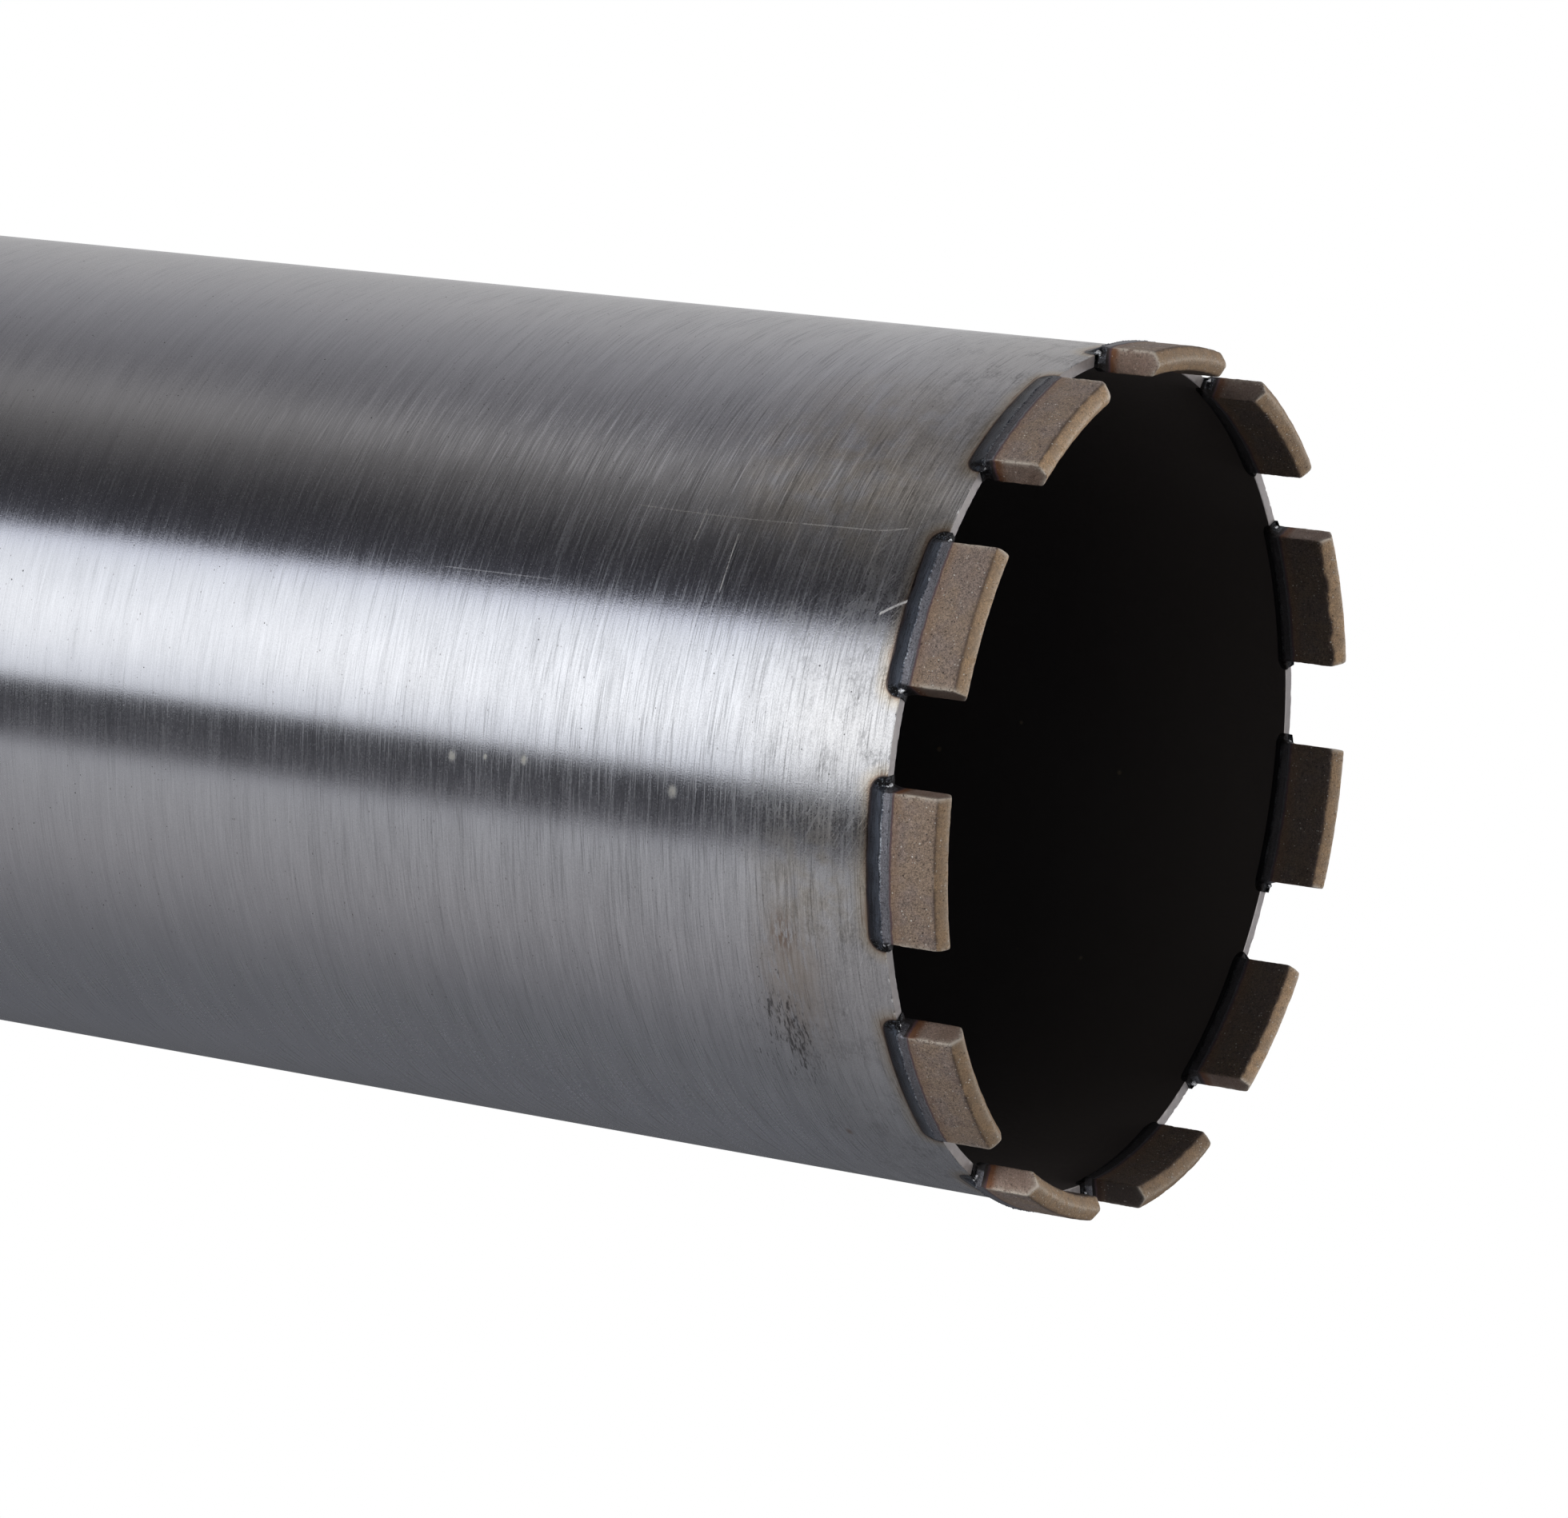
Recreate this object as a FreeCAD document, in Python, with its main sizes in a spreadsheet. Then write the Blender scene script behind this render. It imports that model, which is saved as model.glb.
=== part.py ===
import FreeCAD, Part

import math
import os

import Sketcher
from FreeCAD import Placement, Rotation, Vector

# A laser welded diamond core bit for drilling concrete and masonry. It stands on its
# cutting ring with the threaded hub up. The origin is on the axis of the bit, level
# with the ridges of the segments, and +Z runs along the axis towards the hub.

SHEET = "Dimensions"

# Driving dimensions in millimetres, apart from the two counts.
SIZES = [
    ("tube_diameter", 140, "outside of the barrel tube"),
    ("tube_wall", 2, "wall of the barrel tube"),
    ("tube_length", 450, "from the rim at the segments to the end at the hub"),
    ("tube_end_chamfer", 0.6, "broken outer edge of the tube at the hub end"),
    ("segment_count", 11, "diamond segments round the rim"),
    ("segment_length", 24, "between the parallel ends of a segment"),
    ("segment_thickness", 4, "from the inner to the outer face of a segment"),
    ("segment_height", 10, "from the foot of a segment to its ridge"),
    ("segment_outset", 1, "how far a segment stands proud of the tube outside"),
    ("roof_height", 1.25, "height of the two bevels that meet at the ridge"),
    ("ridge_end_radius", 1.2, "rounding where the bevels meet the end faces"),
    ("segment_edge_radius", 0.4, "rounding of the upright edges of a segment"),
    ("weld_height", 1, "weld metal between the rim and the foot of a segment"),
    ("weld_lap_outside", 2.7, "how far a weld climbs the tube outside"),
    ("weld_crest_outside", 0.2, "height above the rim at which the outer ramp starts"),
    ("weld_lap_inside", 1.6, "how far a weld climbs the tube inside"),
    ("weld_crest_inside", 0.3, "height above the rim at which the inner ramp starts"),
    ("weld_overrun", 1.8, "how far a weld runs past each end of its segment"),
    ("weld_toe_radius", 2.2, "rounded corners of a weld on the tube"),
    ("weld_foot_radius", 0.9, "rounded corners of a weld beside the segment"),
    ("plate_thickness", 8, "end plate that closes the tube"),
    ("plate_recess", 4, "depth of the end plate below the end of the tube"),
    ("plate_clearance", 0.1, "gap all round between the end plate and the tube"),
    ("plate_weld_leg", 3.5, "leg of the bead between the end plate and the tube"),
    ("hub_diameter", 46, "turned collar of the hub"),
    ("hub_collar_height", 12, "round collar above the end plate"),
    ("hub_flats_height", 24, "length of the wrench flats"),
    ("hub_across_flats", 41, "wrench size of the hub"),
    ("hub_flat_count", 6, "wrench flats round the hub"),
    ("hub_chamfer", 1.5, "chamfer round the top of the hub"),
    ("hub_weld_leg", 5, "leg of the bead between the hub and the end plate"),
    ("spigot_diameter", 38, "spigot of the hub that fits the end plate"),
    ("spigot_clearance", 0.1, "gap all round between the spigot and the end plate"),
    ("thread_diameter", 31.75, "full diameter of the spindle thread in the hub"),
    ("thread_chamfer", 1.6, "lead-in at both ends of the threaded bore"),
]

document = FreeCAD.newDocument("CoreBit")
sheet = document.addObject("Spreadsheet::Sheet", SHEET)
for row, (alias, size, meaning) in enumerate(SIZES, start=1):
    sheet.set(f"A{row}", alias)
    sheet.set(f"B{row}", str(size))
    sheet.set(f"C{row}", meaning)
    sheet.setAlias(f"B{row}", alias)
document.recompute()


def dimension(alias):
    """The name by which an expression reads a driving dimension."""
    return f"{SHEET}.{alias}"


# Radii and heights that several pieces share, as expressions of the dimensions.
TUBE_OUTSIDE = f"{dimension('tube_diameter')} / 2"
TUBE_INSIDE = f"({TUBE_OUTSIDE} - {dimension('tube_wall')})"
SEGMENT_OUTSIDE = f"({TUBE_OUTSIDE} + {dimension('segment_outset')})"
SEGMENT_INSIDE = f"({SEGMENT_OUTSIDE} - {dimension('segment_thickness')})"
RIDGE_RADIUS = f"({SEGMENT_OUTSIDE} - {dimension('segment_thickness')} / 2)"
FOOT = dimension("segment_height")
RIM = f"({FOOT} + {dimension('weld_height')})"
TUBE_END = f"({RIM} + {dimension('tube_length')})"
PLATE_TOP = f"({TUBE_END} - {dimension('plate_recess')})"
PLATE_BOTTOM = f"({PLATE_TOP} - {dimension('plate_thickness')})"
COLLAR_TOP = f"({PLATE_TOP} + {dimension('hub_collar_height')})"
HUB_TOP = f"({COLLAR_TOP} + {dimension('hub_flats_height')})"
HUB_OUTSIDE = f"{dimension('hub_diameter')} / 2"
SPIGOT_OUTSIDE = f"{dimension('spigot_diameter')} / 2"
BORE = f"{dimension('thread_diameter')} / 2"
SEGMENT_HALF = f"{dimension('segment_length')} / 2"
WELD_FOOT_RADIUS = dimension("weld_foot_radius")
# The toe's corners stay within the side of the weld that the foot's corners leave.
WELD_SIDE = f"({dimension('weld_height')} + {dimension('weld_lap_outside')} - {WELD_FOOT_RADIUS})"
TOE_SHARE = 0.95
WELD_TOE_RADIUS = f"min({dimension('weld_toe_radius')}; {TOE_SHARE} * {WELD_SIDE})"

# Radius of a weld bead's face, for each millimetre of its leg.
BEAD_FACE_PER_LEG = 1.3
# Spare reach of the shapes that only cut, past the metal that they cut.
CUT_MARGIN = 2.0
# Two measures closer than this are the same when an edge is looked for.
SAME = 1e-4


def value(expression):
    """What an expression of the dimensions comes to."""
    return float(sheet.evalExpression(expression))


def new_body(label):
    """An empty sub-part; its label names its file."""
    body = document.addObject("PartDesign::Body", label)
    body.Label = label
    return body


def new_sketch(body, name, plane):
    """A sketch on one of the body's own origin planes."""
    sketch = body.newObject("Sketcher::SketchObject", name)
    support = next(f for f in body.Origin.OriginFeatures if f.Role == plane)
    sketch.AttachmentSupport = (support, "")
    sketch.MapMode = "FlatFace"
    return sketch


def bind(sketch, kind, places, name, expression):
    """Adds a named dimension to a sketch and ties it to the sheet."""
    number = sketch.addConstraint(Sketcher.Constraint(kind, *places, value(expression)))
    sketch.renameConstraint(number, name)
    sketch.setExpression(f"Constraints.{name}", expression)


def pin_corner(sketch, line, name, across, up):
    """Fixes the start of a line at two expressions, measured from the origin."""
    for kind, way, expression, axis in (
        ("DistanceX", "across", across, -2),
        ("DistanceY", "up", up, -1),
    ):
        if expression == "0":
            sketch.addConstraint(Sketcher.Constraint("PointOnObject", line, 1, axis))
        else:
            bind(sketch, kind, (-1, 1, line, 1), f"{name}_{way}", expression)


def draw_outline(sketch, corners):
    """A closed outline of straight lines through named corners."""
    points = [Vector(value(across), value(up), 0) for _, across, up in corners]
    count = len(points)
    for i in range(count):
        sketch.addGeometry(Part.LineSegment(points[i], points[(i + 1) % count]))
    for i in range(count):
        sketch.addConstraint(Sketcher.Constraint("Coincident", i, 2, (i + 1) % count, 1))
    for i, (name, across, up) in enumerate(corners):
        pin_corner(sketch, i, name, across, up)


def draw_bead(sketch, corner_across, corner_up, side, leg):
    """The section of a bead in a right corner: two legs and a bulging face.

    side is 1 where the bead lies outwards of the upright wall, and -1 where it lies
    towards the axis.
    """
    toe_across = f"{corner_across} + {side} * {leg}"
    toe_up = f"{corner_up} + {leg}"
    face_radius = f"{leg} * {BEAD_FACE_PER_LEG}"
    corner = Vector(value(corner_across), value(corner_up), 0)
    low = Vector(value(toe_across), corner.y, 0)
    high = Vector(corner.x, value(toe_up), 0)
    radius = value(face_radius)
    half_chord = low.distanceToPoint(high) / 2
    bulge = radius - math.sqrt(radius**2 - half_chord**2)
    crown = (low + high) / 2 + Vector(side, 1, 0).normalize() * bulge
    sketch.addGeometry(Part.LineSegment(corner, low))
    sketch.addGeometry(Part.Arc(low, crown, high))
    sketch.addGeometry(Part.LineSegment(high, corner))
    # An arc's start and end follow its turning sense, which depends on the side.
    start, end = (1, 2) if side > 0 else (2, 1)
    sketch.addConstraint(Sketcher.Constraint("Coincident", 0, 2, 1, start))
    sketch.addConstraint(Sketcher.Constraint("Coincident", 1, end, 2, 1))
    sketch.addConstraint(Sketcher.Constraint("Coincident", 2, 2, 0, 1))
    pin_corner(sketch, 0, "corner", corner_across, corner_up)
    bind(sketch, "DistanceX", (-1, 1, 1, start), "toe_across", toe_across)
    bind(sketch, "DistanceY", (-1, 1, 1, start), "toe_level", corner_up)
    bind(sketch, "DistanceX", (-1, 1, 2, 1), "wall_across", corner_across)
    bind(sketch, "DistanceY", (-1, 1, 2, 1), "toe_up", toe_up)
    bind(sketch, "Radius", (1,), "face_radius", face_radius)


def revolve(body, name, sketch, angle="360"):
    """Turns a section about the axis of the bit, evenly to both sides of XZ."""
    turned = body.newObject("PartDesign::Revolution", name)
    turned.Profile = sketch
    turned.ReferenceAxis = (sketch, ["V_Axis"])
    turned.Midplane = True
    turned.setExpression("Angle", angle)
    return turned


def turned_piece(label, corners):
    """A whole sub-part turned from one straight-sided section."""
    body = new_body(label)
    section = new_sketch(body, f"{label}_section", "XZ_Plane")
    draw_outline(section, corners)
    revolve(body, f"{label}_turned", section)
    return body


def bead_ring(label, corner_across, corner_up, side, leg):
    """A ring of weld in the corner between a wall and a plate."""
    body = new_body(label)
    section = new_sketch(body, f"{label}_section", "XZ_Plane")
    draw_bead(section, corner_across, corner_up, side, leg)
    revolve(body, f"{label}_turned", section)
    return body


def set_round_the_rim(body, place):
    """Turns a body to its place in the ring, counted from +X."""
    body.Placement = Placement(Vector(), Rotation(Vector(0, 0, 1), 0))
    step = f"360 / {dimension('segment_count')}"
    body.setExpression("Placement.Rotation.Angle", f"{place} * {step}")


def end_face_edges(shape, upright):
    """Names of a segment's end face edges: the upright ones, or those at the ridge."""
    end = value(SEGMENT_HALF)
    names = []
    for number, edge in enumerate(shape.Edges, start=1):
        first, last = edge.Vertexes[0].Point, edge.Vertexes[-1].Point
        in_end_face = abs(first.y - last.y) < SAME and abs(abs(first.y) - end) < SAME
        is_upright = abs(first.x - last.x) < SAME
        at_ridge = min(first.z, last.z) < SAME
        if in_end_face and (is_upright if upright else at_ridge):
            names.append(f"Edge{number}")
    return names


def round_edges(body, name, base, upright, radius):
    """Rounds some edges of a segment's end faces."""
    document.recompute()
    rounding = body.newObject("PartDesign::Fillet", name)
    rounding.Base = (base, end_face_edges(base.Shape, upright))
    rounding.setExpression("Radius", dimension(radius))
    return rounding


def barrel_tube():
    """The seamless tube, open at the rim and chamfered at the hub end."""
    chamfer = dimension("tube_end_chamfer")
    return turned_piece(
        "barrel_tube",
        [
            ("rim_inner", TUBE_INSIDE, RIM),
            ("rim_outer", TUBE_OUTSIDE, RIM),
            ("end_outer", TUBE_OUTSIDE, f"{TUBE_END} - {chamfer}"),
            ("end_chamfer", f"{TUBE_OUTSIDE} - {chamfer}", TUBE_END),
            ("end_inner", TUBE_INSIDE, TUBE_END),
        ],
    )


def arc_sweep(half_width):
    """The turn that takes a section past both ends of a window of this half width."""
    return f"2 * asin(({half_width} + {CUT_MARGIN}) / {SEGMENT_INSIDE})"


def draw_rectangle(sketch, name, half_width, low, high):
    """A rectangle evenly to both sides of the axis, after what the sketch holds."""
    first = sketch.GeometryCount
    far, down, up = value(half_width), value(low), value(high)
    corners = [(-far, down), (far, down), (far, up), (-far, up)]
    for i in range(4):
        start, end = corners[i], corners[(i + 1) % 4]
        sketch.addGeometry(Part.LineSegment(Vector(*start, 0), Vector(*end, 0)))
    for i in range(4):
        after = first + (i + 1) % 4
        sketch.addConstraint(Sketcher.Constraint("Coincident", first + i, 2, after, 1))
        way = "Horizontal" if i % 2 == 0 else "Vertical"
        sketch.addConstraint(Sketcher.Constraint(way, first + i))
    bind(sketch, "DistanceX", (first, 1, -1, 1), f"{name}_left", half_width)
    bind(sketch, "DistanceX", (-1, 1, first, 2), f"{name}_right", half_width)
    bind(sketch, "DistanceY", (-1, 1, first, 1), f"{name}_low", low)
    bind(sketch, "DistanceY", (-1, 1, first + 2, 1), f"{name}_high", high)


def trim_to_window(body, label, blank, window, half_width, low, high):
    """Cuts away what a window leaves outside. The window's sketch lies on YZ."""
    # The frame clears the whole blank, so cutting between the two leaves the window.
    spare = f"{half_width} + 2 * {CUT_MARGIN}"
    draw_rectangle(window, "frame", spare, f"{low} - {CUT_MARGIN}", f"{high} + {CUT_MARGIN}")
    document.recompute()
    trim = body.newObject("PartDesign::Pocket", f"{label}_ends")
    trim.Profile = window
    trim.Type = "ThroughAll"
    trim.Midplane = True
    document.recompute()
    if trim.Shape.Volume >= blank.Shape.Volume:
        raise RuntimeError(f"the ends of {label} weren't trimmed")
    return trim


def segment(number):
    """A sintered segment: an arc with parallel ends and a roof that cuts at its ridge."""
    label = f"segment_{number:02d}"
    body = new_body(label)
    section = new_sketch(body, f"{label}_section", "XZ_Plane")
    roof = dimension("roof_height")
    draw_outline(
        section,
        [
            ("ridge", RIDGE_RADIUS, "0"),
            ("bevel_outer", SEGMENT_OUTSIDE, roof),
            ("foot_outer", SEGMENT_OUTSIDE, FOOT),
            ("foot_inner", SEGMENT_INSIDE, FOOT),
            ("bevel_inner", SEGMENT_INSIDE, roof),
        ],
    )
    blank = revolve(body, f"{label}_blank", section, arc_sweep(SEGMENT_HALF))
    window = new_sketch(body, f"{label}_window", "YZ_Plane")
    low = f"-{CUT_MARGIN}"
    high = f"{FOOT} + {CUT_MARGIN}"
    draw_rectangle(window, "window", SEGMENT_HALF, low, high)
    trimmed = trim_to_window(body, label, blank, window, SEGMENT_HALF, low, high)
    worn = round_edges(body, f"{label}_ridge_ends", trimmed, False, "ridge_end_radius")
    round_edges(body, f"{label}_edges", worn, True, "segment_edge_radius")
    set_round_the_rim(body, number - 1)
    return body


def draw_rounded_window(sketch, half_width, low, high, low_radius, high_radius):
    """An empty sketch's first shape: a rectangle with arcs for corners."""
    wide, bottom, top = value(half_width), value(low), value(high)
    low_r, high_r = value(low_radius), value(high_radius)
    lines = (
        ((low_r - wide, bottom), (wide - low_r, bottom)),
        ((wide, bottom + low_r), (wide, top - high_r)),
        ((wide - high_r, top), (high_r - wide, top)),
        ((-wide, top - high_r), (-wide, bottom + low_r)),
    )
    arcs = (
        ((wide - low_r, bottom + low_r), low_r),
        ((wide - high_r, top - high_r), high_r),
        ((high_r - wide, top - high_r), high_r),
        ((low_r - wide, bottom + low_r), low_r),
    )
    for start, end in lines:
        sketch.addGeometry(Part.LineSegment(Vector(*start, 0), Vector(*end, 0)))
    for quarter, (centre, radius) in enumerate(arcs):
        circle = Part.Circle(Vector(*centre, 0), Vector(0, 0, 1), radius)
        begin = (quarter - 1) * math.pi / 2
        sketch.addGeometry(Part.ArcOfCircle(circle, begin, begin + math.pi / 2))
    for i in range(4):
        sketch.addConstraint(Sketcher.Constraint("Tangent", i, 2, i + 4, 1))
        sketch.addConstraint(Sketcher.Constraint("Tangent", i + 4, 2, (i + 1) % 4, 1))
        way = "Horizontal" if i % 2 == 0 else "Vertical"
        sketch.addConstraint(Sketcher.Constraint(way, i))
    sketch.addConstraint(Sketcher.Constraint("Equal", 4, 7))
    sketch.addConstraint(Sketcher.Constraint("Equal", 5, 6))
    bind(sketch, "DistanceX", (-1, 1, 1, 1), "window_right", half_width)
    bind(sketch, "DistanceX", (3, 1, -1, 1), "window_left", half_width)
    bind(sketch, "DistanceY", (-1, 1, 0, 1), "window_low", low)
    bind(sketch, "DistanceY", (-1, 1, 2, 1), "window_high", high)
    bind(sketch, "Radius", (4,), "low_radius", low_radius)
    bind(sketch, "Radius", (5,), "high_radius", high_radius)


def segment_weld(number):
    """The weld that joins a segment to the rim: a saddle over the tube wall.

    It fills the joint under the segment's foot, and ramps down from the segment's
    faces to the tube wall, outside and inside.
    """
    label = f"segment_weld_{number:02d}"
    body = new_body(label)
    section = new_sketch(body, f"{label}_section", "XZ_Plane")
    outer_toe = f"{RIM} + {dimension('weld_lap_outside')}"
    draw_outline(
        section,
        [
            ("foot_inner", SEGMENT_INSIDE, FOOT),
            ("foot_outer", SEGMENT_OUTSIDE, FOOT),
            ("crest_outer", SEGMENT_OUTSIDE, f"{RIM} + {dimension('weld_crest_outside')}"),
            ("toe_outer", TUBE_OUTSIDE, outer_toe),
            ("rim_outer", TUBE_OUTSIDE, RIM),
            ("rim_inner", TUBE_INSIDE, RIM),
            ("toe_inner", TUBE_INSIDE, f"{RIM} + {dimension('weld_lap_inside')}"),
            ("crest_inner", SEGMENT_INSIDE, f"{RIM} + {dimension('weld_crest_inside')}"),
        ],
    )
    half_width = f"({SEGMENT_HALF} + {dimension('weld_overrun')})"
    saddle = revolve(body, f"{label}_saddle", section, arc_sweep(half_width))
    window = new_sketch(body, f"{label}_window", "YZ_Plane")
    draw_rounded_window(window, half_width, FOOT, outer_toe, WELD_FOOT_RADIUS, WELD_TOE_RADIUS)
    trim_to_window(body, label, saddle, window, half_width, FOOT, outer_toe)
    set_round_the_rim(body, number - 1)
    return body


def end_plate():
    """The round plate welded into the tube, with a hole for the hub's spigot."""
    hole = f"{SPIGOT_OUTSIDE} + {dimension('spigot_clearance')}"
    edge = f"{TUBE_INSIDE} - {dimension('plate_clearance')}"
    return turned_piece(
        "end_plate",
        [
            ("bottom_inner", hole, PLATE_BOTTOM),
            ("bottom_outer", edge, PLATE_BOTTOM),
            ("top_outer", edge, PLATE_TOP),
            ("top_inner", hole, PLATE_TOP),
        ],
    )


def threaded_hub():
    """The hub that screws on the drill's spindle: spigot, collar and wrench flats."""
    label = "threaded_hub"
    body = new_body(label)
    section = new_sketch(body, f"{label}_section", "XZ_Plane")
    lead = dimension("thread_chamfer")
    corner = dimension("hub_chamfer")
    draw_outline(
        section,
        [
            ("spigot_mouth", f"{BORE} + {lead}", PLATE_BOTTOM),
            ("spigot_end", SPIGOT_OUTSIDE, PLATE_BOTTOM),
            ("spigot_root", SPIGOT_OUTSIDE, PLATE_TOP),
            ("seat", HUB_OUTSIDE, PLATE_TOP),
            ("chamfer_low", HUB_OUTSIDE, f"{HUB_TOP} - {corner}"),
            ("chamfer_high", f"{HUB_OUTSIDE} - {corner}", HUB_TOP),
            ("mouth", f"{BORE} + {lead}", HUB_TOP),
            ("thread_top", BORE, f"{HUB_TOP} - {lead}"),
            ("thread_bottom", BORE, f"{PLATE_BOTTOM} + {lead}"),
        ],
    )
    blank = revolve(body, f"{label}_blank", section)
    across = f"{dimension('hub_across_flats')} / 2"
    beyond = f"{HUB_OUTSIDE} + {CUT_MARGIN}"
    flat = new_sketch(body, f"{label}_flat", "XZ_Plane")
    draw_outline(
        flat,
        [
            ("flat_low", across, COLLAR_TOP),
            ("outside_low", beyond, COLLAR_TOP),
            ("outside_high", beyond, f"{HUB_TOP} + {CUT_MARGIN}"),
            ("flat_high", across, f"{HUB_TOP} + {CUT_MARGIN}"),
        ],
    )
    document.recompute()
    cut = body.newObject("PartDesign::Pocket", f"{label}_flat_cut")
    cut.Profile = flat
    cut.Type = "ThroughAll"
    cut.Midplane = True
    document.recompute()
    if cut.Shape.Volume >= blank.Shape.Volume:
        raise RuntimeError("the first wrench flat wasn't cut")
    flats = body.newObject("PartDesign::PolarPattern", f"{label}_flats")
    flats.Originals = [cut]
    flats.Axis = (flat, ["V_Axis"])
    flats.Angle = 360
    flats.setExpression("Occurrences", dimension("hub_flat_count"))
    body.Tip = flats
    return body


def write_parts(bodies):
    """Tests every object of the document and writes each sub-part to its own file."""
    document.recompute()
    for item in document.Objects:
        if "Invalid" in item.State or "Error" in item.State:
            raise RuntimeError(f"{item.Name} failed: {item.State}")
    for body in bodies:
        if body.Shape.isNull() or not body.Shape.isValid():
            raise RuntimeError(f"{body.Label} has no valid shape")
        if len(body.Shape.Solids) != 1:
            raise RuntimeError(f"{body.Label} has {len(body.Shape.Solids)} solids")
    os.makedirs("parts", exist_ok=True)
    for body in bodies:
        body.Shape.exportStep(os.path.join("parts", f"{body.Label}.step"))


segment_numbers = range(1, int(value(dimension("segment_count"))) + 1)
pieces = [barrel_tube()]
pieces += [segment(number) for number in segment_numbers]
pieces += [segment_weld(number) for number in segment_numbers]
pieces += [
    end_plate(),
    threaded_hub(),
    bead_ring("plate_weld", TUBE_INSIDE, PLATE_TOP, -1, dimension("plate_weld_leg")),
    bead_ring("hub_weld", HUB_OUTSIDE, PLATE_TOP, 1, dimension("hub_weld_leg")),
]
write_parts(pieces)
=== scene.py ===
import math

import bpy
import numpy as np
from mathutils import Matrix, Vector


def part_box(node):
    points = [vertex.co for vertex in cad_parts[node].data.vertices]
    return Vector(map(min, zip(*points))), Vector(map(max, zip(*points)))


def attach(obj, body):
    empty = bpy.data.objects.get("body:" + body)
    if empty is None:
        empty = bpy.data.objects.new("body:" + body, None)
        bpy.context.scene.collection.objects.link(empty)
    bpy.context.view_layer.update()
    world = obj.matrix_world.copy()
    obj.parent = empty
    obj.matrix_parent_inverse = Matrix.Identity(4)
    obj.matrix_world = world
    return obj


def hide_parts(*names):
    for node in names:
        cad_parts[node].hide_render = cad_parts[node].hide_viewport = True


# The looks of a laser welded diamond core bit: a ground steel tube that stands on
# its cutting segments, with the threaded hub at the top.
# The axis of the tube is +Z, and segment_01 lies on +X.

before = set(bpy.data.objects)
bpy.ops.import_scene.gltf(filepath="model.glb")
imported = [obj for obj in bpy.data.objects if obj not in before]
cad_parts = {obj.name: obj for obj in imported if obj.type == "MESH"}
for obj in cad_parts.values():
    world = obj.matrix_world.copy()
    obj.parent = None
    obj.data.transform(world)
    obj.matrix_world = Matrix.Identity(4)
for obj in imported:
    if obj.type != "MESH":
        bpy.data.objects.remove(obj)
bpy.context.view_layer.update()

MM = 0.001


def srgb(red, green, blue):
    """A colour given as 0 to 255, as the linear colour that shaders use."""
    linear = []
    for part in (red, green, blue):
        share = part / 255
        linear.append(share / 12.92 if share <= 0.04045 else ((share + 0.055) / 1.055) ** 2.4)
    return (*linear, 1)


def node_radii(node):
    """The least and the greatest distance of a CAD node from the axis."""
    places = np.array([v.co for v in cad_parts[node].data.vertices])
    reach = np.hypot(places[:, 0], places[:, 1])
    return reach.min(), reach.max()


# Sizes read from the frame, in millimetres.
TUBE_IN, TUBE_OUT = (r / MM for r in node_radii("barrel_tube"))
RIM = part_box("barrel_tube")[0].z / MM
TUBE_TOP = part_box("barrel_tube")[1].z / MM
SEGMENT_IN, SEGMENT_OUT = (r / MM for r in node_radii("segment_01"))
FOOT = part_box("segment_01")[1].z / MM
SEGMENT_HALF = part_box("segment_01")[1].y / MM
HALF_THICK = (SEGMENT_OUT - SEGMENT_IN) / 2
MIDDLE = (SEGMENT_OUT + SEGMENT_IN) / 2
SEGMENTS = sorted(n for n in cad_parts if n.startswith("segment_") and "weld" not in n)
STEP = 2 * math.pi / len(SEGMENTS)
PLATE_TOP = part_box("end_plate")[1].z / MM
PLATE_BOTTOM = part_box("end_plate")[0].z / MM

# Finer sizes, in millimetres: the height of a segment's roof, then a weld's bead line and
# toes (heights), its reach past the segment's ends, and its corners on the tube.
ROOF = 1.25
BEAD_LINE = 10.8
WELD_TOE = 13.65
INNER_TOE = 12.5
WELD_OVERRUN = 1.75
WELD_CORNER = 2.3
# A weld runs on a little farther past the end where it stops.
WELD_SHIFT = 0.2
# The hub's thread: 7 turns to the inch. It begins and ends at the bore's lead-in chamfers.
THREAD_PITCH = 25.4 / 7
THREAD_DEPTH = 1.85
THREAD_INSET = 3.2
# How far apart the ripples of an arc weld's bead lie.
BEAD_PITCH = 2.6


# Meshes


def field(places, wavelength, seed, waves=28):
    """A smooth random field of about unit size: a sum of plane waves."""
    random = np.random.default_rng(seed)
    ways = random.normal(size=(waves, places.shape[1]))
    ways /= np.linalg.norm(ways, axis=1, keepdims=True)
    ways *= random.uniform(0.6, 1.5, (waves, 1)) * 2 * math.pi / wavelength
    phases = random.uniform(0, 2 * math.pi, waves)
    return np.sin(places @ ways.T + phases).sum(axis=1) * math.sqrt(2 / waves)


def full_turn(count):
    return np.linspace(0, 2 * math.pi, count, endpoint=False)


def circle(turns, radius):
    return np.stack([np.cos(turns), np.sin(turns)], axis=1) * radius


def around(radius, angle, height):
    """Points in metres, from radius and height in millimetres and angle in radians."""
    radius, angle, height = np.broadcast_arrays(radius, angle, height)
    return np.stack([radius * np.cos(angle), radius * np.sin(angle), height], axis=-1) * MM


def smoothstep(low, high, value):
    """0 at low, 1 at high, and smooth between them."""
    share = np.clip((value - low) / (high - low), 0, 1)
    return share * share * (3 - 2 * share)


def crowded(share, how_much):
    """Shares from -1 to 1, crowded towards both ends."""
    return np.sin(share * how_much) / math.sin(how_much)


def new_object(name, data):
    made = bpy.data.objects.new(name, data)
    bpy.context.scene.collection.objects.link(made)
    return made


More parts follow.
